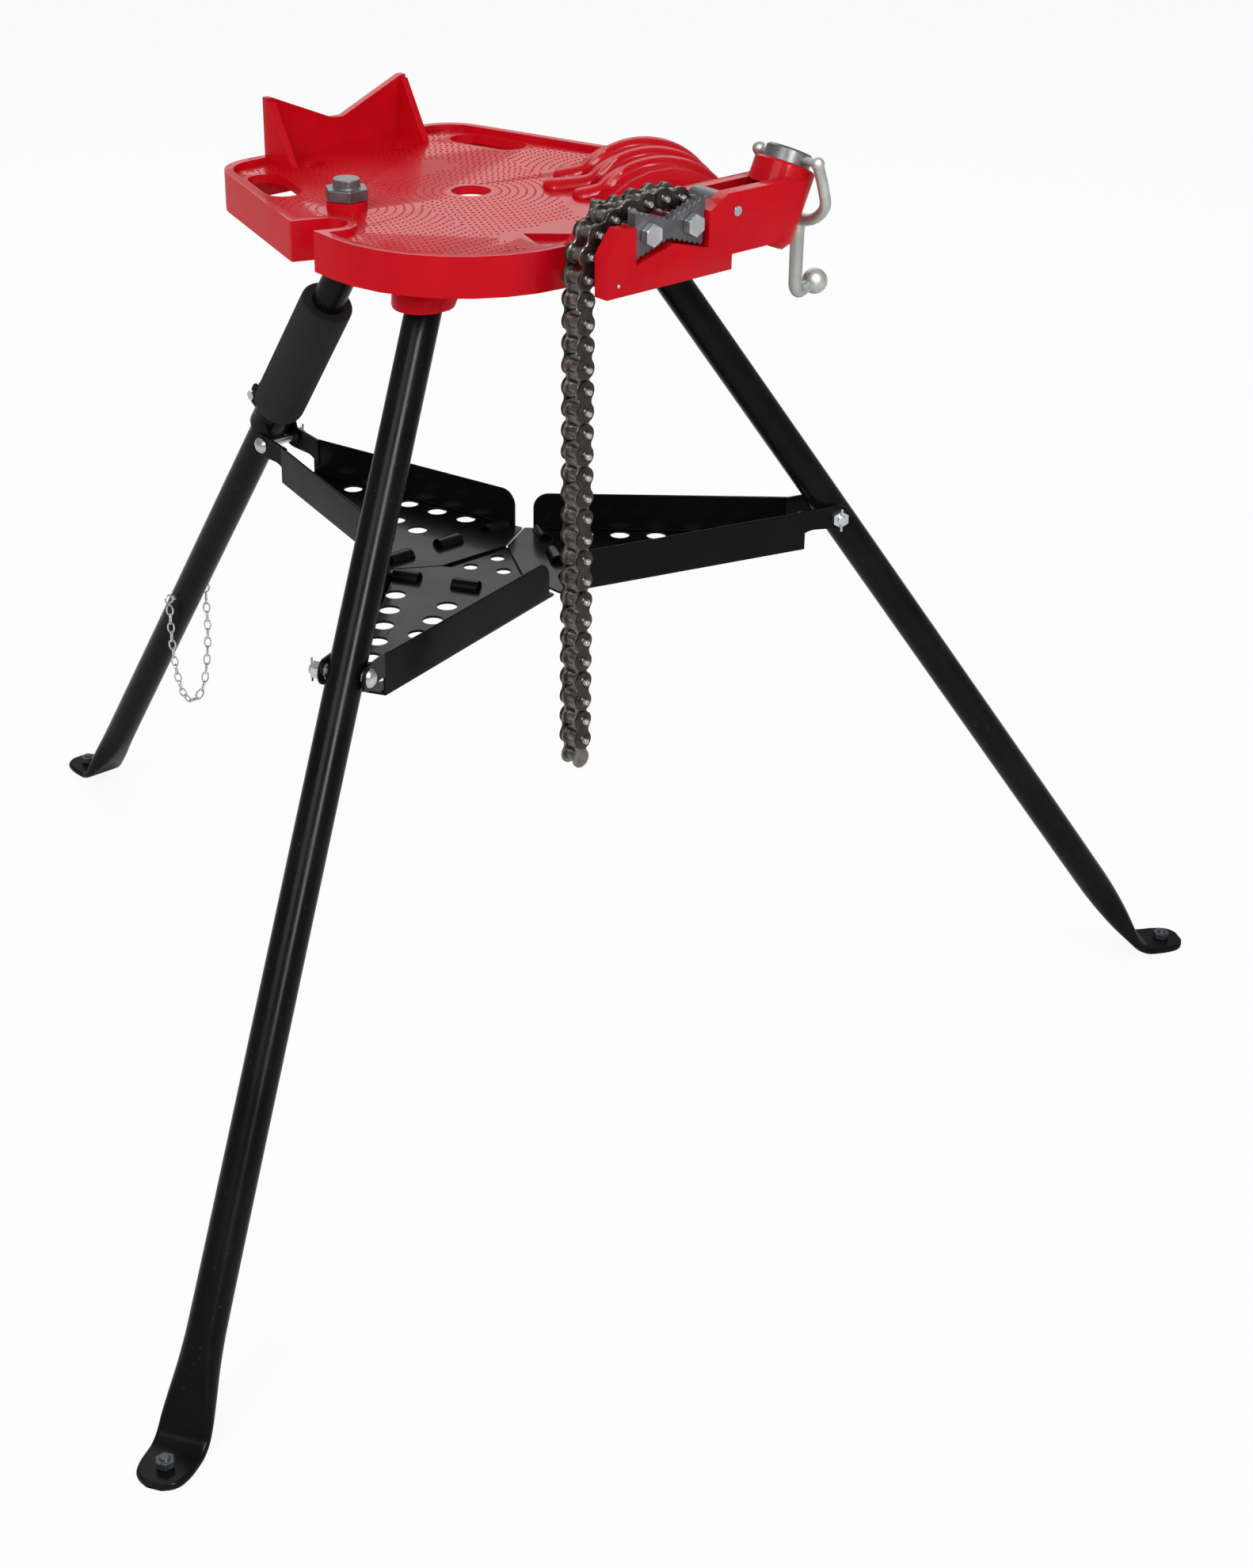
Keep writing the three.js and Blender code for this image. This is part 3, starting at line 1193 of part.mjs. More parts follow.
function addVise() {
  const frontJaw = CHAIN_X + JAW_INNER + FIT;
  const rearJaw = CHAIN_X - JAW_INNER - FIT - JAW_THICKNESS;
  stand.add(named("vise_table", viseTable(), RED_ENAMEL));
  stand.add(named("front_jaw", jaw(frontJaw), JAW_STEEL));
  stand.add(named("rear_jaw", jaw(rearJaw), JAW_STEEL));
  stand.add(named("jaw_bolt_left", jawBolt(-1), ZINC));
  stand.add(named("jaw_bolt_right", jawBolt(1), ZINC));
  const roller = named("chain_roller", chainRoller(), JAW_STEEL);
  roller.position.set(CHAIN_X, ...ROLLER_CENTRE);
  const rollerPin = named("chain_roller_pin", rodX(ROLLER_PIN_RADIUS, -VISE_OUTER, VISE_OUTER, 14), ZINC);
  rollerPin.position.set(CHAIN_X, ...ROLLER_CENTRE);
  const keeper = named("chain_keeper_pin", rodX(KEEPER_PIN_RADIUS, -VISE_OUTER + 2, VISE_OUTER + 1, 8), ZINC);
  keeper.position.set(CHAIN_X, ...KEEPER_PIN_CENTRE);
  stand.add(roller, rollerPin, keeper);
  stand.add(named("tension_screw", alongSleeve(tensionScrew()), DULL_ZINC));
  stand.add(named("tension_nut", alongSleeve(tensionNut()), DULL_ZINC));
  stand.add(named("crank_handle", crankHandle(), DULL_ZINC));
  stand.add(named("ceiling_brace_screw", braceScrew(), BLACK_PAINT));
  stand.add(named("chain_seated", seatedChain(), CHAIN_STEEL));
  stand.add(...hangingLinks());
}

function addLeg({ side, heading, reach }) {
  const rear = side === "rear";
  const plane = new THREE.Group();
  plane.rotation.z = rad(heading);
  stand.add(plane);
  plane.add(named("leg_" + side, leg(reach, !rear), BLACK_PAINT));
  plane.add(named("foot_bolt_" + side, footBolt(reach), DULL_ZINC));
  const boss = BOSS_RADIUS - 1;
  const pivot = named("leg_pin_" + side, rodY(PIVOT_PIN_RADIUS, -boss, boss, 14), ZINC);
  pivot.position.set(reach, 0, PIVOT_HEIGHT);
  plane.add(pivot);
  plane.add(named("tray_panel_" + side, trayPanel(), BLACK_PAINT));
  const pin = named("tray_pin_" + side, trayPin(!rear), ZINC);
  pin.position.set(TRAY_PIN_REACH, 0, TRAY_PIN_HEIGHT);
  plane.add(pin);
  if (rear) {
    addRearFittings(plane, reach);
  }
}

function addRearFittings(plane, reach) {
  const axis = new THREE.Group();
  axis.position.set(reach, 0, PIVOT_HEIGHT);
  axis.rotation.y = -rad(LEG_SPLAY);
  plane.add(axis);
  axis.add(named("foam_grip", foamGrip(), FOAM));
  axis.add(named("leg_collar", legCollar(), BLACK_PAINT));
  axis.add(named("collar_bolt", collarBolt(), ZINC));
  const eyeReach = reach + ((PIVOT_HEIGHT - TIE_EYE_HEIGHT) * SIN_SPLAY) / COS_SPLAY;
  const bolt = named("tie_eye_bolt", eyeBolt(), ZINC);
  bolt.position.set(eyeReach, 0, TIE_EYE_HEIGHT);
  const tie = named("tie_chain", tieLoop(), ZINC);
  tie.position.set(eyeReach, 0, TIE_EYE_HEIGHT - TIE_EYE_RADIUS - TIE_WIRE - FIT);
  plane.add(bolt, tie);
}

addVise();
LEGS.forEach(addLeg);
stand.add(named("tray_hub", trayHub(), BLACK_PAINT));

// The part's origin lies on the floor under the middle of its outline
const root = new THREE.Group();
root.add(stand);
root.updateMatrixWorld(true);
const bounds = new THREE.Box3().setFromObject(root, true);
const middle = bounds.getCenter(new THREE.Vector3());
stand.position.set(-middle.x, -middle.y, -bounds.min.z);

export default root;
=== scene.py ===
# %% [markdown]
# A tripod stand for gripping pipe: a red cast table with a chain vise, on three black tube legs that fold,
# with a perforated tray between them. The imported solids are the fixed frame. Each finer piece below takes the
# place of a solid or adds cast detail to the table, and rides on the body it belongs to.
#
# Sizes are in millimetres unless they say otherwise, from the tripod's centre line and from the floor.

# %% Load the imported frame
import json
import math
import bmesh
import bpy
import numpy as np
from mathutils import Matrix, Vector


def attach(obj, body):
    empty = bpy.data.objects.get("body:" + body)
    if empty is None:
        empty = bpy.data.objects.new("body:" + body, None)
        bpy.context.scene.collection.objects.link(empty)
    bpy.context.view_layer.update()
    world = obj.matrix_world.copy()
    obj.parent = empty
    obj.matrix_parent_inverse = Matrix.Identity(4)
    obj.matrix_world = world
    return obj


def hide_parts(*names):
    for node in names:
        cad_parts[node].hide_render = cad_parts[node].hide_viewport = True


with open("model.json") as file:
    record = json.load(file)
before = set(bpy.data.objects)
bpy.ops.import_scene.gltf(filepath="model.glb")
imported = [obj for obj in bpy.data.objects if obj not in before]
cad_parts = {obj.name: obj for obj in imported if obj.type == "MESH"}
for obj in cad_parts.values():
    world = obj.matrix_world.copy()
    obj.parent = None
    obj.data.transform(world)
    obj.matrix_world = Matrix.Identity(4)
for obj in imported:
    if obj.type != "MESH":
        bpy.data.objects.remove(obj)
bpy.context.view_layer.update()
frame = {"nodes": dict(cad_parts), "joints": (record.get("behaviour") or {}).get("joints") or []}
nodes = frame["nodes"]
joint_place = {j["name"]: j.get("pos_m") for j in frame["joints"]}
MM = 0.001
CHAIN_X = 206.0
CENTRE_X = joint_place["handle_swing"][0] / MM - CHAIN_X
print("nodes", len(nodes), "tripod centre at x", round(CENTRE_X, 2), "mm")

# %% [markdown]
# Shader maths reads best as Python, so a small class wraps one output of a node tree. Arithmetic on it adds
# Math nodes, and its one method adds any other node.


# %% A wrapped socket
class Shade:
    """One output of a node tree; sums, differences and products of it become Math nodes."""

    def __init__(self, tree, socket=None):
        self.tree = tree
        self.socket = socket

    def node(self, kind, out=0, sockets=None, **settings):
        """Adds a node, sets its settings, fills or links its sockets, and wraps one output if it has any."""
        made = self.tree.nodes.new(kind)
        for key, value in settings.items():
            setattr(made, key, value)
        for key, value in (sockets or {}).items():
            if isinstance(value, Shade):
                self.tree.links.new(value.socket, made.inputs[key])
            else:
                made.inputs[key].default_value = value
        return Shade(self.tree, made.outputs[out] if len(made.outputs) else None)

    def maths(self, operation, a, b):
        return self.node("ShaderNodeMath", operation=operation, sockets={0: a, 1: b})

    def __add__(self, other):
        return self.maths("ADD", self, other)

    def __radd__(self, other):
        return self.maths("ADD", other, self)

    def __sub__(self, other):
        return self.maths("SUBTRACT", self, other)

    def __mul__(self, other):
        return self.maths("MULTIPLY", self, other)

    def __rmul__(self, other):
        return self.maths("MULTIPLY", other, self)


def blank(owner):
    """The emptied nodes of a material or a world, ready to be filled."""
    owner.use_nodes = True
    owner.node_tree.nodes.clear()
    return Shade(owner.node_tree)


# %% [markdown]
# Every finish on this stand is a base colour with soft mottling, a roughness that varies with it, and a fine
# bump: orange peel on the enamel, grain on the steel, open cells on the foam. One function makes them all from
# those few numbers, so that the finishes differ where the real ones do.

# %% Finishes
MOTTLE = (0.3, 0.7)
BROAD_BUMP = 0.4
SPECK_SCALE = 260.0
SPECK_LEVEL = (0.68, 0.72)
SPECK_COVER = 0.6
SPECK_ROUGHNESS = 0.2
FACING_UP = (0.6, 0.95)


def noise(place, scale, detail):
    return place.node("ShaderNodeTexNoise", sockets={"Vector": place, "Scale": scale, "Detail": detail})


def rise(value, low, high):
    """0 up to low, 1 from high on, and a straight line between them."""
    return value.node("ShaderNodeMapRange", sockets={"Value": value, "From Min": low, "From Max": high})


def blend(factor, first, second):
    """The first colour where factor is 0 and the second where it is 1; a Mix node's sockets go by number."""
    return factor.node("ShaderNodeMix", 2, data_type="RGBA", sockets={0: factor, 6: first, 7: second})


def finish(name, light, dark, rough, metallic=0.0, coat=0.0, coat_top=None, coat_rough=0.06, shine=0.5,
           blotch=30.0, grain=900.0, bump=0.1, depth=0.0002, speck=0.0, speck_colour=(0.5, 0.5, 0.5)):
    """Mottled colour between light and dark, roughness between two values, and a noise bump of a given grain.

    coat_top is the gloss coat on faces that look up, where sprayed paint flows out smoothest.
    speck is the share of small worn or dusty spots, which show speck_colour."""
    material = bpy.data.materials.new(name)
    here = blank(material)
    place = here.node("ShaderNodeTexCoord", "Object")
    broad = noise(place, blotch, 5.0)
    fine = noise(place, grain, 3.0)
    spread = rise(broad, *MOTTLE)
    colour = blend(spread, (*dark, 1.0), (*light, 1.0))
    roughness = rough[0] + (rough[1] - rough[0]) * spread
    if speck > 0:
        dust = noise(place, SPECK_SCALE, 4.0)
        spots = rise(dust, SPECK_LEVEL[0] - speck, SPECK_LEVEL[1]) * spread
        colour = blend(spots * SPECK_COVER, colour, (*speck_colour, 1.0))
        roughness = roughness + SPECK_ROUGHNESS * spots
    relief = here.node("ShaderNodeBump", sockets={"Height": fine + BROAD_BUMP * broad, "Strength": bump,
                                                  "Distance": depth})
    if coat_top is not None:
        facing = here.node("ShaderNodeSeparateXYZ", 2, sockets={0: here.node("ShaderNodeTexCoord", "Normal")})
        coat = coat + (coat_top - coat) * rise(facing, *FACING_UP)
    shader = here.node("ShaderNodeBsdfPrincipled", sockets={
        "Base Color": colour, "Roughness": roughness, "Metallic": metallic, "Normal": relief,
        "Coat Weight": coat, "Coat Roughness": coat_rough, "Specular IOR Level": shine})
    here.node("ShaderNodeOutputMaterial", sockets={"Surface": shader})
    return material


RED_ENAMEL = finish("red_enamel", (0.62, 0.003, 0.011), (0.54, 0.002, 0.009), (0.28, 0.4), coat=0.1,
                    coat_top=0.3, shine=0.05, blotch=22.0, grain=1100.0, bump=0.06)
BLACK_PAINT = finish("black_paint", (0.007, 0.007, 0.008), (0.004, 0.004, 0.004), (0.2, 0.28), shine=0.08,
                     blotch=16.0, grain=700.0, bump=0.02, speck=0.02, speck_colour=(0.05, 0.045, 0.04))
TRAY_PAINT = finish("tray_paint", (0.006, 0.006, 0.007), (0.004, 0.004, 0.004), (0.2, 0.32), coat=0.02,
                    coat_top=0.12, coat_rough=0.12, shine=0.06, blotch=16.0, grain=700.0, bump=0.05)
JAW_STEEL = finish("jaw_steel", (0.15, 0.15, 0.16), (0.1, 0.1, 0.106), (0.38, 0.52), metallic=0.6,
                   blotch=60.0, grain=1500.0, bump=0.12)
NUT_STEEL = finish("nut_steel", (0.19, 0.19, 0.2), (0.12, 0.12, 0.127), (0.3, 0.42), metallic=0.6,
                   blotch=80.0, grain=1500.0, bump=0.1)
CHAIN_DARK = finish("chain_dark", (0.06, 0.05, 0.043), (0.028, 0.024, 0.021), (0.26, 0.42), metallic=0.75,
                    blotch=120.0, grain=1800.0, bump=0.1)
CHAIN_PALE = finish("chain_pale", (0.24, 0.22, 0.2), (0.12, 0.11, 0.1), (0.26, 0.42), metallic=0.85,
                    blotch=120.0, grain=1800.0, bump=0.1)
PIN_STEEL = finish("pin_steel", (0.55, 0.55, 0.54), (0.4, 0.4, 0.39), (0.25, 0.4), metallic=0.9,
                   blotch=200.0, grain=1800.0, bump=0.08)
ZINC = finish("bright_zinc", (0.66, 0.68, 0.7), (0.5, 0.52, 0.54), (0.18, 0.32), metallic=0.95,
              blotch=90.0, grain=1500.0, bump=0.08)
DULL_ZINC = finish("dull_zinc", (0.55, 0.58, 0.54), (0.4, 0.42, 0.385), (0.36, 0.55), metallic=0.75,
                   blotch=45.0, grain=900.0, bump=0.2, speck=0.04, speck_colour=(0.32, 0.3, 0.26))
FOOT_NUT = finish("foot_nut_steel", (0.1, 0.11, 0.13), (0.06, 0.065, 0.08), (0.3, 0.45), metallic=0.7,
                  blotch=90.0, grain=1500.0, bump=0.1)
FOAM = finish("foam", (0.014, 0.0145, 0.016), (0.008, 0.008, 0.009), (0.85, 0.98), blotch=40.0, grain=2200.0,
              bump=0.5, depth=0.0006)
print("finishes", len(bpy.data.materials))

# %% [markdown]
# All the new pieces are worked out as whole arrays of points. A skin joins a stack of equal rings with quads
# and closes both ends, which is enough for a bent tube, a strip of folded sheet, a turned knob or a chain link.

# %% Surface helpers
SEAM_WELD, SEAM_SLIVER = 1e-6, 1e-7  # metres


def skin(rings, looped=False):
    """Points and faces over rings[i, j]: quads between neighbouring rings, each ring a closed loop.

    Open stacks get a flat cap on both ends; looped ones join the last ring to the first."""
    rings = np.asarray(rings, float)
    count, round_ = rings.shape[:2]
    index = np.arange(count * round_).reshape(count, round_)
    if looped:
        index = np.vstack([index, index[:1]])
    turned_index = np.roll(index, -1, axis=1)
    quads = np.stack([index[:-1], turned_index[:-1], turned_index[1:], index[1:]], axis=-1).reshape(-1, 4)
    faces = quads.tolist()
    if not looped:
        faces.append(index[0, ::-1].tolist())
        faces.append(index[-1].tolist())
    return rings.reshape(-1, 3), faces


def joined(shapes):
    """Several pairs of points and faces as one pair."""
    starts = np.cumsum([0] + [len(points) for points, _ in shapes]).tolist()
    faces = [[start + i for i in face] for start, shape in zip(starts, shapes) for face in shape[1]]
    return np.vstack([points for points, _ in shapes]), faces


def around(count):
    """The angles of even steps round a full turn."""
    return 2 * np.pi * np.arange(count) / count


def on_circle(radius, angle, x=0.0, y=0.0):
    """Points at the given angles on a circle about (x, y)."""
    return np.column_stack([x + radius * np.cos(angle), y + radius * np.sin(angle)])


def circle(x, y, radius, count=36):
    return on_circle(radius, around(count), x, y)


def tube(path, radius, upright, sides=24):
    """A round bar: circles of the given radius square to the path, one at each of its points.

    Each circle starts from the upright direction, made square to the path."""
    path = np.asarray(path, float)
    radius = np.broadcast_to(np.asarray(radius, float), (len(path),))
    tangent = np.gradient(path, axis=0)
    tangent /= np.linalg.norm(tangent, axis=1, keepdims=True)
    upright = np.broadcast_to(np.asarray(upright, float), path.shape)
    normal = upright - tangent * np.sum(upright * tangent, axis=1, keepdims=True)
    normal /= np.linalg.norm(normal, axis=1, keepdims=True)
    side = np.cross(tangent, normal)
    angle = around(sides)[None, :, None]
    spokes = normal[:, None] * np.cos(angle) + side[:, None] * np.sin(angle)
    return path[:, None] + radius[:, None, None] * spokes


def turned(profile, sides=48):
    """Rings of a turned shape about Z from a profile of (radius, height) pairs."""
    profile = np.asarray(profile, float)
    angle = around(sides)
    x = profile[:, :1] * np.cos(angle)
    y = profile[:, :1] * np.sin(angle)
    return np.stack([x, y, np.broadcast_to(profile[:, 1:], x.shape)], axis=-1)


def ball(radius, steps, sides):
    """Rings of a ball: a half circle from pole to pole, turned."""
    return turned(on_circle(radius, np.linspace(-math.pi / 2, math.pi / 2, steps)), sides)


def through(points, steps):
    """A smooth curve through the points: each span is the cubic whose end slopes point at the neighbours."""
    points = np.asarray(points, float)
    padded = np.vstack([2 * points[0] - points[1], points, 2 * points[-1] - points[-2]])
    t = np.linspace(0, 1, steps, endpoint=False)[None, :, None]
    p0, p1, p2, p3 = (padded[i:len(padded) - 3 + i][:, None] for i in range(4))
    spans = 0.5 * (2 * p1 + (p2 - p0) * t + (2 * p0 - 5 * p1 + 4 * p2 - p3) * t**2
                   + (3 * p1 - p0 - 3 * p2 + p3) * t**3)
    return np.vstack([spans.reshape(-1, points.shape[1]), points[-1:]])


def run_along(path):
    """The length along a path up to each of its points."""
    return np.concatenate([[0], np.cumsum(np.linalg.norm(np.diff(path, axis=0), axis=1))])


def rounded(keys, steps, width):
    """Rows of key values filled in by straight lines, then averaged over width steps so that corners round."""
    keys = np.asarray(keys, float)
    at = np.linspace(0, len(keys) - 1, (len(keys) - 1) * steps + 1)
    filled = np.stack([np.interp(at, np.arange(len(keys)), column) for column in keys.T], axis=1)
    half = width // 2
    run_up = filled[:1] - np.arange(half, 0, -1)[:, None] * (filled[1] - filled[0])
    run_out = filled[-1:] + np.arange(1, half + 1)[:, None] * (filled[-1] - filled[-2])
    padded = np.vstack([run_up, filled, run_out])
    kernel = np.ones(2 * half + 1) / (2 * half + 1)
    return np.stack([np.convolve(column, kernel, "valid") for column in padded.T], axis=1)


def headed(points, heading):
    """Points (outward reach, sideways, height) about the tripod's centre, turned to a heading in degrees."""
    points = np.asarray(points, float)
    c, s = math.cos(math.radians(heading)), math.sin(math.radians(heading))
    x = points[..., 0] * c - points[..., 1] * s + CENTRE_X
    y = points[..., 0] * s + points[..., 1] * c
    return np.stack([x, y, points[..., 2]], axis=-1)


def linked(name, data):
    """A new object in the scene that shows a mesh, curve, lamp or camera."""
    made = bpy.data.objects.new(name, data)
    bpy.context.scene.collection.objects.link(made)
    return made


def evaluated(holder):
    """A new mesh of an object as its modifiers or its curve settings make it."""
    bpy.context.view_layer.update()
    return bpy.data.meshes.new_from_object(holder.evaluated_get(bpy.context.evaluated_depsgraph_get()))


def mend(mesh, weld=None, sliver=None, flat=None, split=False, outward=False):
    """Cleans a mesh in place: welds points, drops slivers, joins flat areas, splits big faces, turns faces out.

    weld and sliver are distances in metres, and flat is an angle."""
    work = bmesh.new()
    work.from_mesh(mesh)
    if weld:
        bmesh.ops.remove_doubles(work, verts=work.verts, dist=weld)
    if sliver:
        bmesh.ops.dissolve_degenerate(work, edges=work.edges, dist=sliver)
    if flat:
        bmesh.ops.dissolve_limit(work, angle_limit=flat, verts=work.verts, edges=work.edges)
    if split:
        bmesh.ops.triangulate(work, faces=[face for face in work.faces if len(face.verts) > 4])
    if outward:
        bmesh.ops.recalc_face_normals(work, faces=work.faces)
    work.to_mesh(mesh)
    work.free()


def smooth(mesh, crease):
    """Shades a mesh smooth, apart from edges that turn by more than the crease angle in degrees."""
    mesh.polygons.foreach_set("use_smooth", np.ones(len(mesh.polygons), bool))
    mesh.set_sharp_from_angle(angle=math.radians(crease))


def piece(name, body, parts, stands_for=(), crease=35.0):
    """Makes one mesh object from parts (points, faces, material), closes its seams and sets its body."""
    points, faces = joined([part[:2] for part in parts])
    materials = []
    for part in parts:
        if part[2] not in materials:
            materials.append(part[2])
    marks = np.repeat([materials.index(part[2]) for part in parts], [len(part[1]) for part in parts])
    mesh = bpy.data.meshes.new(name)
    mesh.from_pydata((points * MM).tolist(), [], faces)
    mesh.polygons.foreach_set("material_index", marks.astype(np.int32))
    for material in materials:
        mesh.materials.append(material)
    mend(mesh, weld=SEAM_WELD, sliver=SEAM_SLIVER, outward=True)
    smooth(mesh, crease)
    made = linked(name, mesh)
    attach(made, body)
    if stands_for:
        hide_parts(*stands_for)


# %% [markdown]
# The castings, jaws, bolts and pins already have the right shape in the solids, but their corners are knife
# sharp, and real metal never is. A merged copy of each solid gets a small bevel, which catches the light, and
# the faceted rounds are shaded smooth up to a crease angle.
#
# The table's copy is cut first. The solid's plain fingers in front of the pipe bender make way for ridges that
# are added further down, and a three-cornered pocket and two round ones are sunk in the deck.

# %% Eased copies of the solids
COPY_WELD, CUT_WELD = 2e-6, 5e-6  # metres
FLAT = math.radians(0.5)
DECK = 853.0
BENDER_HEADING = 61.0
BENDER_REACH = 153.0
BENDER_AXIS = 811.0
BENDER_CREST = 75.0
CUT_HALF_WIDTH = 71.0
CUT_START = 104.0
CUT_FAR, CUT_HIGH = -130.0, 100.0
CUT_OVER_DECK, CUT_OVER_CREST = 0.05, 0.1
CORNER_POCKET = np.array([(111.0, -54.0), (146.0, -13.0), (155.0, -70.0)])
POCKETS = ((CORNER_POCKET, 4.5), (circle(-187, -54, 12.5), 6.5), (circle(-187, 54, 12.5), 6.5))
POCKET_ABOVE = 3.0


def carved(mesh, points, faces):
    """The mesh less a closed shape, by an exact boolean whose result is kept and whose tools are removed."""
    tool_mesh = bpy.data.meshes.new("cutter")
    tool_mesh.from_pydata((points * MM).tolist(), [], faces)
    mend(tool_mesh, outward=True)
    tool, whole = linked("cutter", tool_mesh), linked("carved", mesh)
    cut = whole.modifiers.new("cut", "BOOLEAN")
    cut.operation = "DIFFERENCE"
    cut.solver = "EXACT"
    cut.object = tool
    result = evaluated(whole)
    for thing in (tool, whole):
        bpy.data.objects.remove(thing)
    bpy.data.meshes.remove(tool_mesh)
    mend(result, weld=CUT_WELD, sliver=CUT_WELD, split=True)
    return result


def eased(node, name, body, material, bevel, crease=40.0, segments=2, cutter=None):
    """A merged copy of a solid with flat areas joined into single faces and its sharp edges bevelled.

    cutter, closed points and faces, is taken out of the copy first."""
    mesh = nodes[node].data.copy()
    mesh.name = name
    mend(mesh, weld=COPY_WELD, flat=FLAT)
    if cutter:
        mesh = carved(mesh, *cutter)
        mesh.name = name
    mesh.materials.clear()
    mesh.materials.append(material)
    mesh.polygons.foreach_set("material_index", np.zeros(len(mesh.polygons), np.int32))
    smooth(mesh, crease)
    made = linked(name, mesh)
    edge = made.modifiers.new("eased edges", "BEVEL")
    edge.width = bevel * MM
    edge.segments = segments
    edge.limit_method = "ANGLE"
    edge.angle_limit = math.radians(crease)
    edge.use_clamp_overlap = True
    edge.harden_normals = True
    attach(made, body)
    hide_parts(node)


def table_cutter():
    """Prisms to take out of the table: the air over the bender's run-out, and the three pockets."""
    deck = DECK + CUT_OVER_DECK - BENDER_AXIS
    crest = BENDER_CREST + CUT_OVER_CREST
    arc = np.radians(np.linspace(CUT_START, 180 - math.degrees(math.asin(deck / crest)), 24))
    air = np.vstack([on_circle(crest, arc),
                     [(CUT_FAR, deck), (CUT_FAR, CUT_HIGH), (crest * math.cos(arc[0]), CUT_HIGH)]])
    air = air + [BENDER_REACH, BENDER_AXIS]
    points, faces = skin([np.insert(air, 1, w, axis=1) for w in (-CUT_HALF_WIDTH, CUT_HALF_WIDTH)])
    shapes = [(headed(points, BENDER_HEADING), faces)]
    for pocket, depth in POCKETS:
        outline = pocket + [CENTRE_X, 0]
        shapes.append(skin([np.insert(outline, 2, z, axis=1) for z in (DECK - depth, DECK + POCKET_ABOVE)]))
    return joined(shapes)


eased("vise_table", "table_casting", "table", RED_ENAMEL, 1.4, 38.0, 3, table_cutter())
for jaw_node in ("front_jaw", "rear_jaw"):
    eased(jaw_node, jaw_node + "_plate", "table", JAW_STEEL, 0.35)
for bolt_side in ("left", "right"):
    eased("jaw_bolt_" + bolt_side, "jaw_bolt_hex_" + bolt_side, "table", ZINC, 0.8)
for leg_side in ("rear", "left", "right"):
    eased("leg_pin_" + leg_side, "pivot_pin_" + leg_side, "table", ZINC, 0.6)
    eased("foot_bolt_" + leg_side, "foot_nut_" + leg_side, leg_side + "_leg", FOOT_NUT, 0.7)
    eased("tray_pin_" + leg_side, "hinge_pin_" + leg_side, leg_side + "_leg", ZINC, 0.4)
eased("chain_roller_pin", "roller_pin", "table", ZINC, 0.4)
eased("chain_keeper_pin", "keeper_pin", "table", ZINC, 0.3)
eased("chain_roller", "roller", "roller", NUT_STEEL, 0.8)
eased("tension_screw", "screw_fork", "screw", DULL_ZINC, 0.5)
eased("tension_nut", "screw_nut", "nut", NUT_STEEL, 0.6)
eased("ceiling_brace_screw", "brace_screw", "brace", NUT_STEEL, 1.0)
eased("leg_collar", "clamp_collar", "rear_leg", BLACK_PAINT, 0.5)
eased("collar_bolt", "clamp_bolt", "rear_leg", ZINC, 0.4)
eased("tie_eye_bolt", "eye_bolt", "rear_leg", ZINC, 0.2)

# %% [markdown]
# Each leg is one steel tube, flattened and bent at the floor into a foot. The ring that is carried down the
# leg is two half circles apart by a straight, so that a round tube and a flat foot are the same formula with
# other numbers. The numbers are filled in between a few stations and averaged, which rounds the bends.

# %% Legs
LEG_RADIUS = 15.875
LEG_SIDES = 64
SPLAY_DEGREES = 35.0
SPLAY = math.radians(SPLAY_DEGREES)
PIVOT_HEIGHT = 822.0
LEG_TOP_ABOVE = 12.0
FOOT_HALF = 23.5
FOOT_FLAT = 4.0
DISH_EDGE, DISH_DEPTH = 0.55, 0.3
HAIR = 0.01
FIT = 0.3
TRAY_PIN = (335.0, 531.7)
TRAY_PIN_RADIUS = 4.2
FRONT_REACH = TRAY_PIN[0] - (PIVOT_HEIGHT - TRAY_PIN[1]) * math.tan(SPLAY)
REAR_REACH = FRONT_REACH + (LEG_RADIUS + FIT + TRAY_PIN_RADIUS) / math.cos(SPLAY)
HEADING = {"rear": 180.0, "left": -61.0, "right": 61.0}
REACH = {"rear": REAR_REACH, "left": FRONT_REACH, "right": FRONT_REACH}


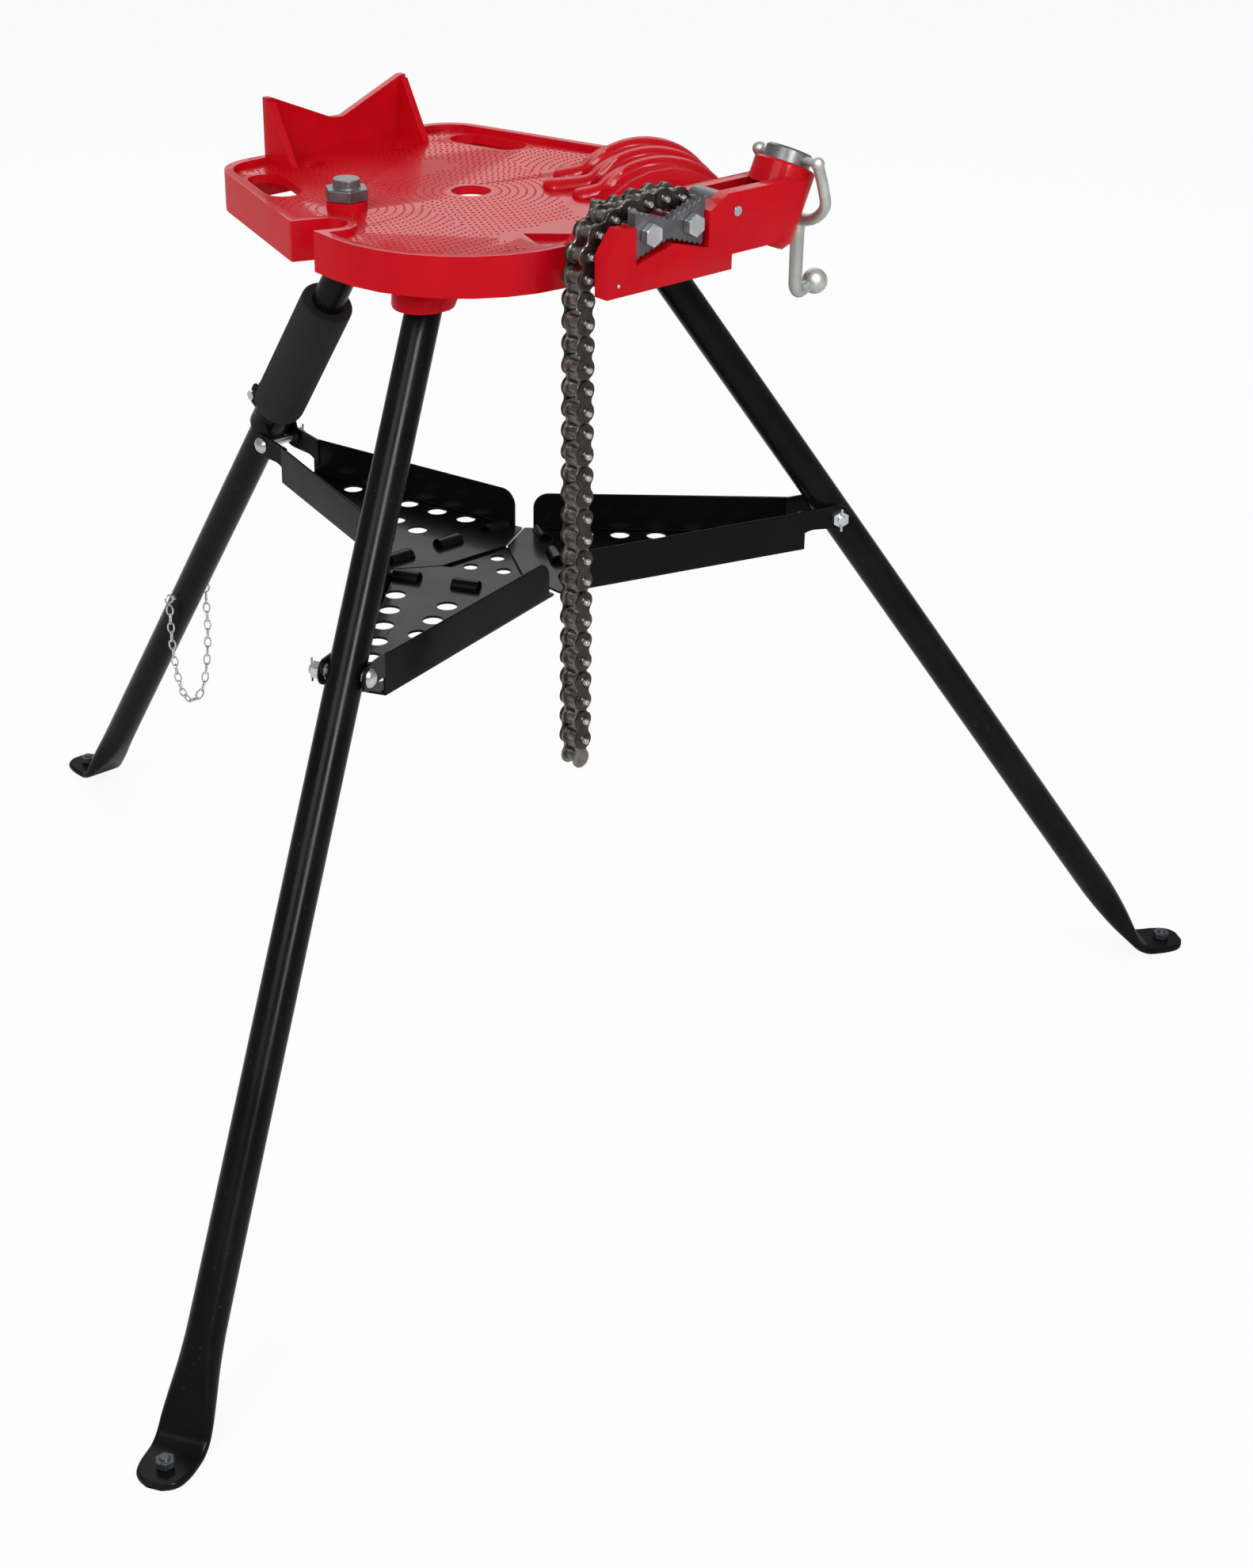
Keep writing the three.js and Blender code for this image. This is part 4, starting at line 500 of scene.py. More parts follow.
def leg_tube(reach):
    """Rings of a leg in its own plane, from stations of (reach, height, half width, half thickness, lean).

    Where the tube is pinched flat, its upper face sinks by a square law between a ridge at each side."""
    def out(height):
        return reach + (PIVOT_HEIGHT - height) * math.tan(SPLAY)

    top = PIVOT_HEIGHT + LEG_TOP_ABOVE * math.cos(SPLAY)
    floor = out(0)
    r, half, flat = LEG_RADIUS, FOOT_HALF, FOOT_FLAT
    stations = [(out(height), height, r, r - HAIR, SPLAY_DEGREES) for height in (top, 400, 90)]
    stations += [
        (out(62), 62, r + 1.5, r - 1.5, SPLAY_DEGREES), (out(40), 40, half - 3, flat + 7.5, 37),
        (out(22), 22, half - 0.5, flat + 3, 46), (out(10), 10, half, flat + 0.6, 62),
        (floor + 3, flat + 0.6, half, flat + 0.1, 80), (floor + 10, flat, half, flat, 90),
        (floor + 24, flat, half, flat, 90), (floor + 36, flat, half - 2.5, flat, 90),
        (floor + 42, flat, half - 7, flat, 90), (floor + 45.5, flat, half - 14, flat, 90),
    ]
    keys = rounded(stations, 10, 8)
    angle = 2 * np.pi * (np.arange(LEG_SIDES) + 0.5) / LEG_SIDES
    half_width, thick, lean = keys[:, 2:3], keys[:, 3:4], np.radians(keys[:, 4:5])
    sideways = np.sign(np.cos(angle)) * (half_width - thick) + thick * np.cos(angle)
    ridge = np.clip((np.abs(sideways) / half_width - DISH_EDGE) / (1 - DISH_EDGE), 0, 1) ** 2
    pinch = np.clip((LEG_RADIUS - thick) / LEG_RADIUS, 0, 1)
    up = thick * np.sin(angle) * (1 - DISH_DEPTH * pinch * (1 - ridge) * (np.sin(angle) > 0))
    x = keys[:, :1] + up * np.cos(lean)
    z = np.maximum(keys[:, 1:2] + up * np.sin(lean), 0.0)
    return np.stack([x, sideways, z], axis=-1)


for leg_side, heading in HEADING.items():
    points, faces = skin(leg_tube(REACH[leg_side]))
    piece("leg_tube_" + leg_side, leg_side + "_leg", [(headed(points, heading), faces, BLACK_PAINT)],
          ["leg_" + leg_side])

# %% [markdown]
# The carrying grip is a foam sleeve pushed over the rear leg. It is a turned shape whose radius also waves
# gently round the leg, as fine lengthwise ribs that fade out towards its upper end.

# %% Foam grip
GRIP_BORE = 16.3
GRIP_RADIUS = 26.0
GRIP_LENGTH = 159.0
GRIP_TOP = -(PIVOT_HEIGHT - 699.0) / math.cos(SPLAY)
RIBS = 48
RIB_DEPTH = 0.012
RIB_LENGTH = 120.0
RIB_START = 22.0


def on_leg(points, side):
    """Points drawn about a leg's axis, Z up the leg from the pivot and X outwards, set in the part's frame."""
    x = points[..., 0] * math.cos(SPLAY) - points[..., 2] * math.sin(SPLAY) + REACH[side]
    z = points[..., 0] * math.sin(SPLAY) + points[..., 2] * math.cos(SPLAY) + PIVOT_HEIGHT
    return headed(np.stack([x, points[..., 1], z], axis=-1), HEADING[side])


grip_keys = rounded([
    (GRIP_BORE, 0), (21.5, 0), (24.8, 1.5), (GRIP_RADIUS, 7), (GRIP_RADIUS, 60), (GRIP_RADIUS, 110),
    (GRIP_RADIUS, GRIP_LENGTH - 2.5), (24.5, GRIP_LENGTH), (20, GRIP_LENGTH), (GRIP_BORE, GRIP_LENGTH),
], 12, 6)
grip_radius, grip_height = grip_keys[:, :1], grip_keys[:, 1:]
grip_rings = turned(grip_keys, 4 * RIBS)
fade = (np.clip(1 - grip_height / RIB_LENGTH, 0, 1)
        * np.clip((grip_radius - RIB_START) / (GRIP_RADIUS - RIB_START), 0, 1))
wave = 1 - RIB_DEPTH * fade * (1 + np.cos(RIBS * around(4 * RIBS)))
grip_rings[..., :2] *= wave[..., None]
grip_rings[..., 2] += GRIP_TOP - GRIP_LENGTH
points, faces = skin(grip_rings, looped=True)
piece("foam_sleeve", "rear_leg", [(on_leg(points, "rear"), faces, FOAM)], ["foam_grip"])

# %% [markdown]
# The roller chain repeats two links. Side plates are waisted like an hourglass: two round ends joined by
# hollow curves. A plate is its outline scaled a little at both faces, so its edges are eased. Inner links
# carry rollers, and outer links carry the riveted pins, whose bright ends stand out on the front.

# %% Roller chain
PITCH = 19.05
PLATE_ROUND = 9.0
PLATE_EASE = 0.35
PLATE_DRAWN_IN = 0.94
WAIST = 5.9
WAIST_START = math.radians(38)
INNER_PLATE, OUTER_PLATE = (6.3, 8.7), (9.0, 11.4)
ROLLER = ((5.4, -6.2), (5.9, -5.7), (5.9, 5.7), (5.4, 6.2))
PIN = ((2.8, -12.6), (2.8, 15.4), (2.3, 16.3), (1.2, 16.5))
RIVET = ((4.6, 11.3), (3.9, 12.3), (2.8, 12.9))
HANGING_LINKS = 23
# Pins of the run over the jaws as (y, z), from the tension screw to the first hanging link.
SEATED_PINS = [
    (147.64, 862.06), (128.78, 859.39), (109.88, 857.01), (90.89, 855.52), (71.84, 855.94), (55.99, 866.50),
    (44.98, 882.05), (28.60, 891.77), (9.68, 893.99), (-9.34, 892.90), (-28.23, 890.42), (-46.74, 885.94),
    (-62.96, 875.94), (-72.50, 859.45), (-75.25, 840.60),
]


def plate_outline(count=14):
    """Hourglass outline (y, z): a round end, a hollow side that dips by a square law, and the same again."""
    top = on_circle(PLATE_ROUND, np.linspace(-WAIST_START, math.pi + WAIST_START, 2 * count))
    t = np.linspace(-1, 1, count)[1:-1]
    edge = PLATE_ROUND * math.cos(WAIST_START)
    depth = PITCH / 2 - PLATE_ROUND * math.sin(WAIST_START)
    side = np.column_stack([-(WAIST + (edge - WAIST) * t**2), -PITCH / 2 - depth * t])
    half = np.vstack([top, side])
    return np.vstack([half, [0, -PITCH] - half])


def plate(from_x, to_x):
    """A side plate: its outline at four stations across the thickness, drawn in a little at both faces."""
    middle = np.array([0.0, -PITCH / 2])
    outline = plate_outline() - middle
    stations = ((from_x, PLATE_DRAWN_IN), (from_x + PLATE_EASE, 1.0), (to_x - PLATE_EASE, 1.0),
                (to_x, PLATE_DRAWN_IN))
    return skin([np.insert(middle + outline * scale, 0, x, axis=1) for x, scale in stations])


def across(profile, z, sides):
    """A turned shape about X at height z, from (radius, x) pairs."""
    points, faces = skin(turned(profile, sides))
    return points[:, [2, 0, 1]] + [0, 0, z], faces


def link(near, far, material, fittings):
    """Two side plates between near and far, and turned fittings (profile, sides, material) at both pins."""
    parts = [(*plate(near, far), material), (*plate(-far, -near), material)]
    for z in (0.0, -PITCH):
        parts += [(*across(profile, z, sides), metal) for profile, sides, metal in fittings]
    return parts


def hung(parts, start, end):
    """Link parts drawn hanging from the origin, turned so that the second pin is at end, as (y, z)."""
    angle = math.atan2(end[0] - start[0], -(end[1] - start[1]))
    c, s = math.cos(angle), math.sin(angle)
    moved = []
    for points, faces, material in parts:
        y = points[:, 1] * c - points[:, 2] * s + start[0]
        z = points[:, 1] * s + points[:, 2] * c + start[1]
        moved.append((np.column_stack([points[:, 0] + CENTRE_X + CHAIN_X, y, z]), faces, material))
    return moved


LINKS = (link(*INNER_PLATE, CHAIN_PALE, [(ROLLER, 20, CHAIN_PALE)]),
         link(*OUTER_PLATE, CHAIN_DARK, [(PIN, 14, PIN_STEEL), (RIVET, 14, CHAIN_DARK)]))
seated = []
for i, (start, end) in enumerate(zip(SEATED_PINS[:-1], SEATED_PINS[1:])):
    seated += hung(LINKS[i % 2], start, end)
piece("chain_run", "table", seated, ["chain_seated"])
hang_y, hang_z = SEATED_PINS[-1]
for i in range(HANGING_LINKS):
    link_name = "link_%02d" % (i + 1)
    start, end = (hang_y, hang_z - i * PITCH), (hang_y, hang_z - (i + 1) * PITCH)
    piece("hanging_" + link_name, link_name, hung(LINKS[i % 2], start, end), ["chain_" + link_name])
print("chain links", len(SEATED_PINS) - 1 + HANGING_LINKS)

# %% [markdown]
# The crank handle is forged: two arms fork round the sleeve and meet in a shank that ends in an elbow and a
# ball. Each is a round bar along a smooth curve through a few points, swelling where the forging is thicker.

# %% Crank handle
HANDLE_PIVOT = np.array([166.468, 902.436])
CROTCH = np.array([182.0, 845.0])
ARM_SIDE = 35.5
ARM_KEYS = ((1.0, 0.0, 0.0), (1.0, 0.55, 0.4), (0.95, 0.85, 0.7))  # shares of side, way out and way down
ARM_RADIUS, ARM_SWELL, SWELL_WIDTH = 5.0, 1.2, 0.12
ARM_END_RADIUS = 6.0
HANDLE_PIN = (12.3, 20.0, 28.0, ARM_SIDE)
HANDLE_PIN_RADIUS = 3.5
SHANK = ((0, 846), (0, 820), (0, 796), (0.4, 784), (5, 778.4), (13, 780.4), (24, 783.7))  # out from the crotch
SHANK_RADII = (7.0, 6.2, 5.6)
BALL_RADIUS = 11.5
BALL_PLACE = (CROTCH[0] + 25, 784.0)

fall = CROTCH - HANDLE_PIVOT
arm = [(ARM_SIDE * wide, *(HANDLE_PIVOT + fall * (out, down))) for wide, out, down in ARM_KEYS]
arm.append((ARM_SIDE * 0.55, CROTCH[0] - 0.5, CROTCH[1] + 4))
bow = through(arm + [(0, *CROTCH)] + [(-x, y, z) for x, y, z in arm[::-1]], 14)
bow_radius = ARM_RADIUS + ARM_SWELL * np.exp(-(np.linspace(-1, 1, len(bow)) / SWELL_WIDTH) ** 2)
shank = through([(0, CROTCH[0] + out, z) for out, z in SHANK], 10)
taper = np.interp(np.arange(len(shank)), [0, 6, len(shank) - 1], SHANK_RADII)
handle_shapes = [skin(tube(bow, bow_radius, (0, 1, 0.3))), skin(tube(shank, taper, (1, 0, 0)))]
for side in (-1, 1):
    pin_path = [(side * x, *HANDLE_PIVOT) for x in HANDLE_PIN]
    handle_shapes.append(skin(tube(pin_path, HANDLE_PIN_RADIUS, (0, 0, 1), 16)))
    handle_shapes.append(skin(ball(ARM_END_RADIUS, 17, 24) + [side * ARM_SIDE, *HANDLE_PIVOT]))
handle_shapes.append(skin(ball(BALL_RADIUS, 33, 48) + [0, *BALL_PLACE]))
handle_parts = [(points + [CENTRE_X + CHAIN_X, 0, 0], faces, DULL_ZINC) for points, faces in handle_shapes]
piece("forged_handle", "handle", handle_parts, ["crank_handle"])

# %% [markdown]
# The tray is three panels of pressed sheet with punched holes, side flanges, pivot ears and three folded
# loops each. The floor and the ears are flat outlines with round holes: a filled flat curve with a small
# bevel gives those at once, and it is made a mesh before it is placed. The flanges are a folded section
# carried along the panel's edge, whose height rounds off at the inner end.

# %% Tray panels
SHEET = 2.3
FLOOR = 501.0
FLOOR_END = 302.0
CORNER = (49.0, 82.0)
HINGE_END = (24.0, 39.0)
TRAY_CREASE = 17.0
HOLE_RADIUS = 9.5
HOLE_STEP = 34.0
SIDE_ROWS, SIDE_ROW_SLANT = (53.0, 54.0), 8.5
MIDDLE_ROW = 61.0
LAST_HOLE = 27.0
FLANGE_TOP = 539.0
FLANGE_SETBACK = 9.0
FLANGE_CORNER = 15.0
FLANGE_LAP = 6.0
BEND, INNER_BEND = 3.0, 0.8
EAR_Y = 18.9
EAR_ROUND = 11.5
EAR_HOLE = 4.6
EAR_ROOT = 8.0
LOOP_LINE = 63.0
LOOP_RADIUS = 8.3
LOOP_HALF = 12.5
LOOP_SPREAD = 59.0


def flat_sheet(loops, thickness, edge=0.3):
    """Points and faces of a flat plate with holes: a curve filled between closed loops, with eased rims."""
    curve = bpy.data.curves.new("outline", "CURVE")
    curve.dimensions = "2D"
    curve.fill_mode = "BOTH"
    curve.extrude = thickness / 2 - edge
    curve.bevel_depth = edge
    curve.bevel_resolution = 1
    curve.offset = -edge
    for loop in loops:
        spline = curve.splines.new("POLY")
        spline.points.add(len(loop) - 1)
        flat_loop = np.column_stack([loop, np.zeros(len(loop)), np.ones(len(loop))])
        spline.points.foreach_set("co", flat_loop.ravel())
        spline.use_cyclic_u = True
    holder = linked("outline", curve)
    flat = evaluated(holder)
    points = np.empty(len(flat.vertices) * 3)
    flat.vertices.foreach_get("co", points)
    faces = [list(face.vertices) for face in flat.polygons]
    bpy.data.objects.remove(holder)
    bpy.data.curves.remove(curve)
    bpy.data.meshes.remove(flat)
    return points.reshape(-1, 3), faces


def tray_holes():
    """Centres of a panel's holes: two slanting rows of five, a middle row of three, and one near the leg."""
    along, apart = SIDE_ROWS
    rows = [(CORNER[0] + along + HOLE_STEP * i, side * (apart - SIDE_ROW_SLANT * i))
            for i in range(5) for side in (1, -1)]
    rows += [(CORNER[0] + MIDDLE_ROW + HOLE_STEP * i, 0.0) for i in range(3)]
    return rows + [(FLOOR_END - LAST_HOLE, 0.0)]


def flange(side):
    """A folded edge: an upright strip with a rounded top on a small bend, carried along the panel's side."""
    start = np.array(CORNER)
    end = np.array([FLOOR_END, EAR_Y + SHEET])
    run = np.linalg.norm(end - start)
    along = (end - start) / run
    outward = np.array([-along[1], along[0]])
    s = np.concatenate([FLANGE_SETBACK + FLANGE_CORNER * (1 - np.cos(np.linspace(0, math.pi / 2, 14))),
                        np.linspace(FLANGE_SETBACK + FLANGE_CORNER, run, 12)[1:]])
    drop = np.clip(1 - (s - FLANGE_SETBACK) / FLANGE_CORNER, 0, 1)
    height = FLANGE_TOP - FLANGE_CORNER + FLANGE_CORNER * np.sqrt(1 - drop**2) + HAIR
    foot = on_circle(BEND, np.linspace(-math.pi / 2, 0, 8), -BEND, BEND)
    top = on_circle(SHEET / 2, np.linspace(0, math.pi, 14), -SHEET / 2)
    back = [(-SHEET, SHEET + INNER_BEND), (-SHEET - INNER_BEND, SHEET),
            (-FLANGE_LAP, SHEET), (-FLANGE_LAP, 0.0)]
    offset, lift = np.vstack([foot, top, back]).T
    is_top = np.repeat([0.0, 1.0, 0.0], [len(foot), len(top), len(back)])
    z = FLOOR + lift + is_top * (height[:, None] - FLOOR - SHEET / 2)
    plan = start + s[:, None, None] * along + offset[None, :, None] * outward
    return skin(np.stack([plan[..., 0], side * plan[..., 1], z], axis=-1))


def ear(side):
    """A pivot ear: a flat outline (reach, height) with a round end about the pin and the pin's hole."""
    low = TRAY_PIN[1] - EAR_ROUND
    t = np.linspace(0, 1, 9)[:, None]
    sweep = ((1 - t) ** 2 * [FLOOR_END - EAR_ROOT, low - EAR_ROOT] + 2 * t * (1 - t) * [FLOOR_END + 2, low]
             + t**2 * [FLOOR_END + 10, low])
    end = on_circle(EAR_ROUND, np.linspace(-math.pi / 2, math.pi / 2, 20), *TRAY_PIN)
    outline = np.vstack([sweep, end, [(FLOOR_END - EAR_ROOT, FLANGE_TOP)]])
    points, faces = flat_sheet([outline, circle(*TRAY_PIN, EAR_HOLE)], SHEET)
    return points[:, [0, 2, 1]] + [0, side * (EAR_Y + SHEET / 2), 0], faces


def folded_loop(spread):
    """A half round loop of sheet over the hinge line: an outer half circle out and an inner one back."""
    arc = np.linspace(0, math.pi, 17)
    section = np.vstack([on_circle(LOOP_RADIUS, arc), on_circle(LOOP_RADIUS - SHEET, arc[::-1])])
    section = section + [LOOP_LINE, FLOOR + SHEET - 1]
    return skin([np.insert(section, 1, spread + w, axis=1) for w in (-LOOP_HALF, LOOP_HALF)])


def tray_panel():
    """The shapes of one panel: its punched floor, two flanges, two ears and three loops."""
    edge = [HINGE_END, (CORNER[0], CORNER[1] - 1), (FLOOR_END, EAR_Y + SHEET)]
    outline = np.array([(x, -y) for x, y in edge] + edge[::-1])
    points, faces = flat_sheet([outline] + [circle(x, y, HOLE_RADIUS) for x, y in tray_holes()], SHEET)
    shapes = [(points + [0, 0, FLOOR + SHEET / 2], faces), flange(1), flange(-1), ear(1), ear(-1)]
    return shapes + [folded_loop(spread) for spread in (0.0, LOOP_SPREAD, -LOOP_SPREAD)]


panel_shapes = tray_panel()
for tray_side, heading in HEADING.items():
    panel_parts = [(headed(points, heading), faces, TRAY_PAINT) for points, faces in panel_shapes]
    piece("tray_sheet_" + tray_side, tray_side + "_panel", panel_parts,
          ["tray_panel_" + tray_side], crease=TRAY_CREASE)

# %% [markdown]
# The panels meet over a flat hub plate with three holes. It is wide where it joins the rear panel and comes to
# a point at the front.

# %% Tray hub
HUB_EDGE = [(-62.0, 59.0), (-27.0, 40.3), (-20.0, 40.3)]
HUB_POINT = (49.8, 0.0)
HUB_HOLE_REACH, HUB_HOLE_RADIUS = 19.0, 7.0
hub_outline = np.array([(x, -y) for x, y in HUB_EDGE] + [HUB_POINT] + HUB_EDGE[::-1])
hub_holes = [circle(x, y, HUB_HOLE_RADIUS) for x, y in circle(0, 0, HUB_HOLE_REACH, 3)]
points, faces = flat_sheet([hub_outline] + hub_holes, SHEET)
hub_place = points + [CENTRE_X, 0, FLOOR - FIT - SHEET / 2]
piece("hub_sheet", "hub_plate", [(hub_place, faces, TRAY_PAINT)], ["tray_hub"],
      crease=TRAY_CREASE)

# %% [markdown]
# The tie chain hangs in a loop from an eye bolt on the rear leg. It is a row of oval wire links, each turned a
# quarter round from the last, set at even steps along the hanging curve.

# %% Tie chain
EYE_HEIGHT = 303.0
EYE_RADIUS = 5.0
EYE_WIRE = 2.4
TIE_REACH = 24.0
TIE_DROP = 122.0
TIE_LINKS = 25
TIE_WIRE = 0.9
TIE_HALF_WIDTH = 3.4
TIE_OVERLAP = 1.9
tie_x = REAR_REACH + (PIVOT_HEIGHT - EYE_HEIGHT) * math.tan(SPLAY)
tie_top = EYE_HEIGHT - EYE_RADIUS - EYE_WIRE - FIT
half_loop = [(TIE_REACH, 0), (TIE_REACH - 1, -TIE_DROP * 0.45), (TIE_REACH * 0.62, -TIE_DROP * 0.86)]
hang = through([(-x, z) for x, z in half_loop] + [(0, -TIE_DROP)] + half_loop[::-1], 60)
run = run_along(hang)
stops = np.linspace(0, run[-1], TIE_LINKS + 1)
knots = np.column_stack([np.interp(stops, run, hang[:, 0]), np.interp(stops, run, hang[:, 1])])
oval = around(24)
tie_parts = []
for i, (start, end) in enumerate(zip(knots[:-1], knots[1:])):
    middle = (start + end) / 2
    along = (end - start) / np.linalg.norm(end - start)
    length = np.linalg.norm(end - start) / 2 + TIE_OVERLAP
    turn = math.radians(45 if i % 2 else -45)
    side_dir = np.array([math.cos(turn), -along[1] * math.sin(turn), along[0] * math.sin(turn)])
    path = (np.array([0, *middle]) + np.outer(np.cos(oval) * (length - TIE_WIRE), [0, *along])
            + np.outer(np.sin(oval) * TIE_HALF_WIDTH, side_dir))
    square = np.cross([0, *along], side_dir)
    closed = np.vstack([path[-1:], path, path[:1]])
    points, faces = skin(tube(closed, TIE_WIRE, square, 8)[1:-1], looped=True)
    tie_parts.append((headed(points + [tie_x, 0, tie_top], HEADING["rear"]), faces, ZINC))
piece("tie_chain_links", "tie", tie_parts, ["tie_chain"])

# %% [markdown]
# The pipe bender is a ridged drum cast on the table. Its ridges run down onto the deck as fingers with round
# ends. Each ridge is a bar with a changing radius along one smooth curve: round the drum, down an S, and out
# flat along the deck, where half of it is sunk.

# %% Bender ridges
RIDGE_RADIUS = 7.0
RIDGE_PROUD = 0.4
RIDGE_WIDENING = 1.45
RIDGE_ARC = (22, 116)
RIDGE_FALL = ((-43.0, 53.5), (-53.0, 47.0))
FINGER_FROM, FINGER_FLAT = -46.5, -62.0
FLARE, FLARE_START, FLARE_RUN = 1.6, 140.0, 40.0
FINGERS = ((52.5, 36.0), (17.5, 53.0), (-17.5, 34.0))  # place across the drum, length


def bender_ridge(spread, length):
    """Rings of one ridge: an arc about the drum's axis, then an S to a tip on the deck that closes round."""
    arc = np.radians(np.linspace(*RIDGE_ARC, 12))
    deck = DECK - BENDER_AXIS
    tip = FINGER_FROM - length
    path = through(np.vstack([
        on_circle(BENDER_CREST - RIDGE_RADIUS + RIDGE_PROUD, arc), RIDGE_FALL,
        [(FINGER_FLAT, deck + 2.2), (0.5 * (tip + FINGER_FLAT), deck + 0.4), (tip + 9, deck), (tip, deck)],
    ]), 8)
    run = run_along(path)
    radius = RIDGE_RADIUS + FLARE * np.clip((run - FLARE_START) / FLARE_RUN, 0, 1)
    closing = np.clip(1 - (run[-1] - run) / radius, 0, 1)
    radius = radius * np.sqrt(np.clip(1 - closing**2, 0.0004, 1))
    placed = np.insert(path + [BENDER_REACH, BENDER_AXIS], 1, spread, axis=1)
    rings = tube(placed, radius, (0, 1, 0), 28)
    rings[..., 1] = spread + RIDGE_WIDENING * (rings[..., 1] - spread)
    return rings


ridge_parts = []
for spread, length in FINGERS:
    points, faces = skin(bender_ridge(spread, length))
    ridge_parts.append((headed(points, BENDER_HEADING), faces, RED_ENAMEL))
piece("bender_ridges", "table", ridge_parts, crease=60.0)

# %% [markdown]
# Under the table each leg comes out of a cast socket. It is open towards the middle, where the leg folds in, so
# only its outer half is there: a thick wall swept round the leg, wide under the deck and narrow at its lip.

# %% Leg sockets
SOCKET_SWEEP = 86
SOCKET_WALL = ((16.7, 826.0), (31.5, 826.0), (31.5, 816.0), (28.0, 799.0), (27.0, 797.5), (25.5, 797.0),
               (16.7, 797.0))  # radius about the leg, height


def leg_socket(reach):
    """Rings of the socket's wall, one for each angle round the leg; its top and lip lie level."""
    angle = np.radians(np.linspace(-SOCKET_SWEEP, SOCKET_SWEEP, 41))[:, None]
    radius, height = np.array(SOCKET_WALL).T
    outward = radius * np.cos(angle)
    depth = (PIVOT_HEIGHT - height + outward * math.sin(SPLAY)) / math.cos(SPLAY)
    x = reach + depth * math.sin(SPLAY) + outward * math.cos(SPLAY)
    return np.stack([x, radius * np.sin(angle), np.broadcast_to(height, x.shape)], axis=-1)


for leg_side in ("left", "rear"):
    points, faces = skin(leg_socket(REACH[leg_side]))
    piece("leg_socket_" + leg_side, "table", [(headed(points, HEADING[leg_side]), faces, RED_ENAMEL)])

# %% [markdown]
# The deck is cast with rows of small pips so that tools don't slide. The rows run in circles round the brace
# screw, the centre hole and a third point, and meet halfway. Each pip is a low six-sided dome of a few faces.
# The deck is bare along its rim, round its slots, notch and pockets, and under what stands on it.

# %% Deck pips
PIP_RADIUS, PIP_TOP_SHARE = 1.4, 0.6
PIP_HEIGHT, PIP_SUNK = 0.55, 0.3
PIP_SPACING, PIP_STAGGER = 5.6, 0.38
FIRST_RING, LAST_RING, RING_STEP = 27.0, 300.0, 7.6
RING_CENTRES = np.array([(-44.0, -122.0), (-23.0, 0.0), (20.0, 150.0)])
TABLE_CIRCLES = ((-178, 102, 45), (-20, 147, 48), (43.7, 65, 134))
RIM = 17.0
DECK_FRONT = 150.0
SLOT, SLOT_HEADING, SLOT_HALF, SLOT_CLEAR = (-148, 124), 17, 23, 23
NOTCH, NOTCH_HEADING, NOTCH_RUN, NOTCH_CLEAR = (-10, -196), 70, (-40, 23), 29
POCKET_REACH, POCKET_SIDE, POCKET_CLEAR = -193, 56, 15
FAR = 1000
BARE = (((-FAR, -88), (-178, 88)), ((100, -80), (FAR, 5)), ((-130, -41), (-94, 49)))  # rest, vise, plain patch
BENDER_BARE = ((62, -78), (FAR, 78))


def table_inset(points, inset):
    """True inside the table's outline drawn in by inset: the hull of three circles and their mirror images."""
    circles = np.array([(x, side * y, r) for x, y, r in TABLE_CIRCLES for side in (-1, 1)])
    ways = circle(0, 0, 1, 120)
    reach = (circles[:, :2] @ ways.T + circles[:, 2:] - inset).max(axis=0)
    return (points @ ways.T < reach).all(axis=1)


def off_line(points, middle, heading, first, last):
    """Distance from a line through middle at a heading, between two lengths along it."""
    away = points - np.asarray(middle, float)
    way = np.array([math.cos(math.radians(heading)), math.sin(math.radians(heading))])
    t = np.clip(away @ way, first, last)
    return np.linalg.norm(away - t[:, None] * way, axis=1)


def in_box(points, box):
    return ((points > box[0]) & (points < box[1])).all(axis=1)


def pip_places():
    """Points on circles round three centres, each kept where its own centre is the nearest one."""
    spots = []
    for k, centre in enumerate(RING_CENTRES):
        for step, ring in enumerate(np.arange(FIRST_RING, LAST_RING, RING_STEP)):
            count = round(2 * np.pi * ring / PIP_SPACING)
            angle = 2 * np.pi * (np.arange(count) + PIP_STAGGER * step) / count
            row = on_circle(ring, angle, *centre)
            gap = np.linalg.norm(row[:, None] - RING_CENTRES, axis=2)
            spots.append(row[gap.argmin(axis=1) == k])
    spots = np.vstack(spots)
    keep = table_inset(spots, RIM) & (spots[:, 0] < DECK_FRONT)
    for side in (1, -1):
        keep &= off_line(spots * [1, side], SLOT, SLOT_HEADING, -SLOT_HALF, SLOT_HALF) > SLOT_CLEAR
        keep &= np.linalg.norm(spots - [POCKET_REACH, side * POCKET_SIDE], axis=1) > POCKET_CLEAR
    keep &= off_line(spots, NOTCH, NOTCH_HEADING, *NOTCH_RUN) > NOTCH_CLEAR
    for box in BARE:
        keep &= ~in_box(spots, box)
    bend = np.array([math.cos(math.radians(BENDER_HEADING)), math.sin(math.radians(BENDER_HEADING))])
    keep &= ~in_box(np.column_stack([spots @ bend, spots @ [-bend[1], bend[0]]]), BENDER_BARE)
    return spots[keep]


spots = pip_places()
low_ring = np.insert(circle(0, 0, PIP_RADIUS, 6), 2, -PIP_SUNK, axis=1)
high_ring = np.insert(circle(0, 0, PIP_TOP_SHARE * PIP_RADIUS, 6), 2, PIP_HEIGHT, axis=1)
pip_points, pip_faces = skin([low_ring, high_ring])
base = np.insert(spots + [CENTRE_X, 0], 2, DECK, axis=1)
all_points = (base[:, None] + pip_points).reshape(-1, 3)
starts = len(pip_points) * np.arange(len(spots))[:, None]
all_faces = [face for pip_face in pip_faces for face in (starts + pip_face).tolist()]
piece("deck_pips", "table", [(all_points, all_faces, RED_ENAMEL)], crease=60.0)
print("deck pips", len(spots))

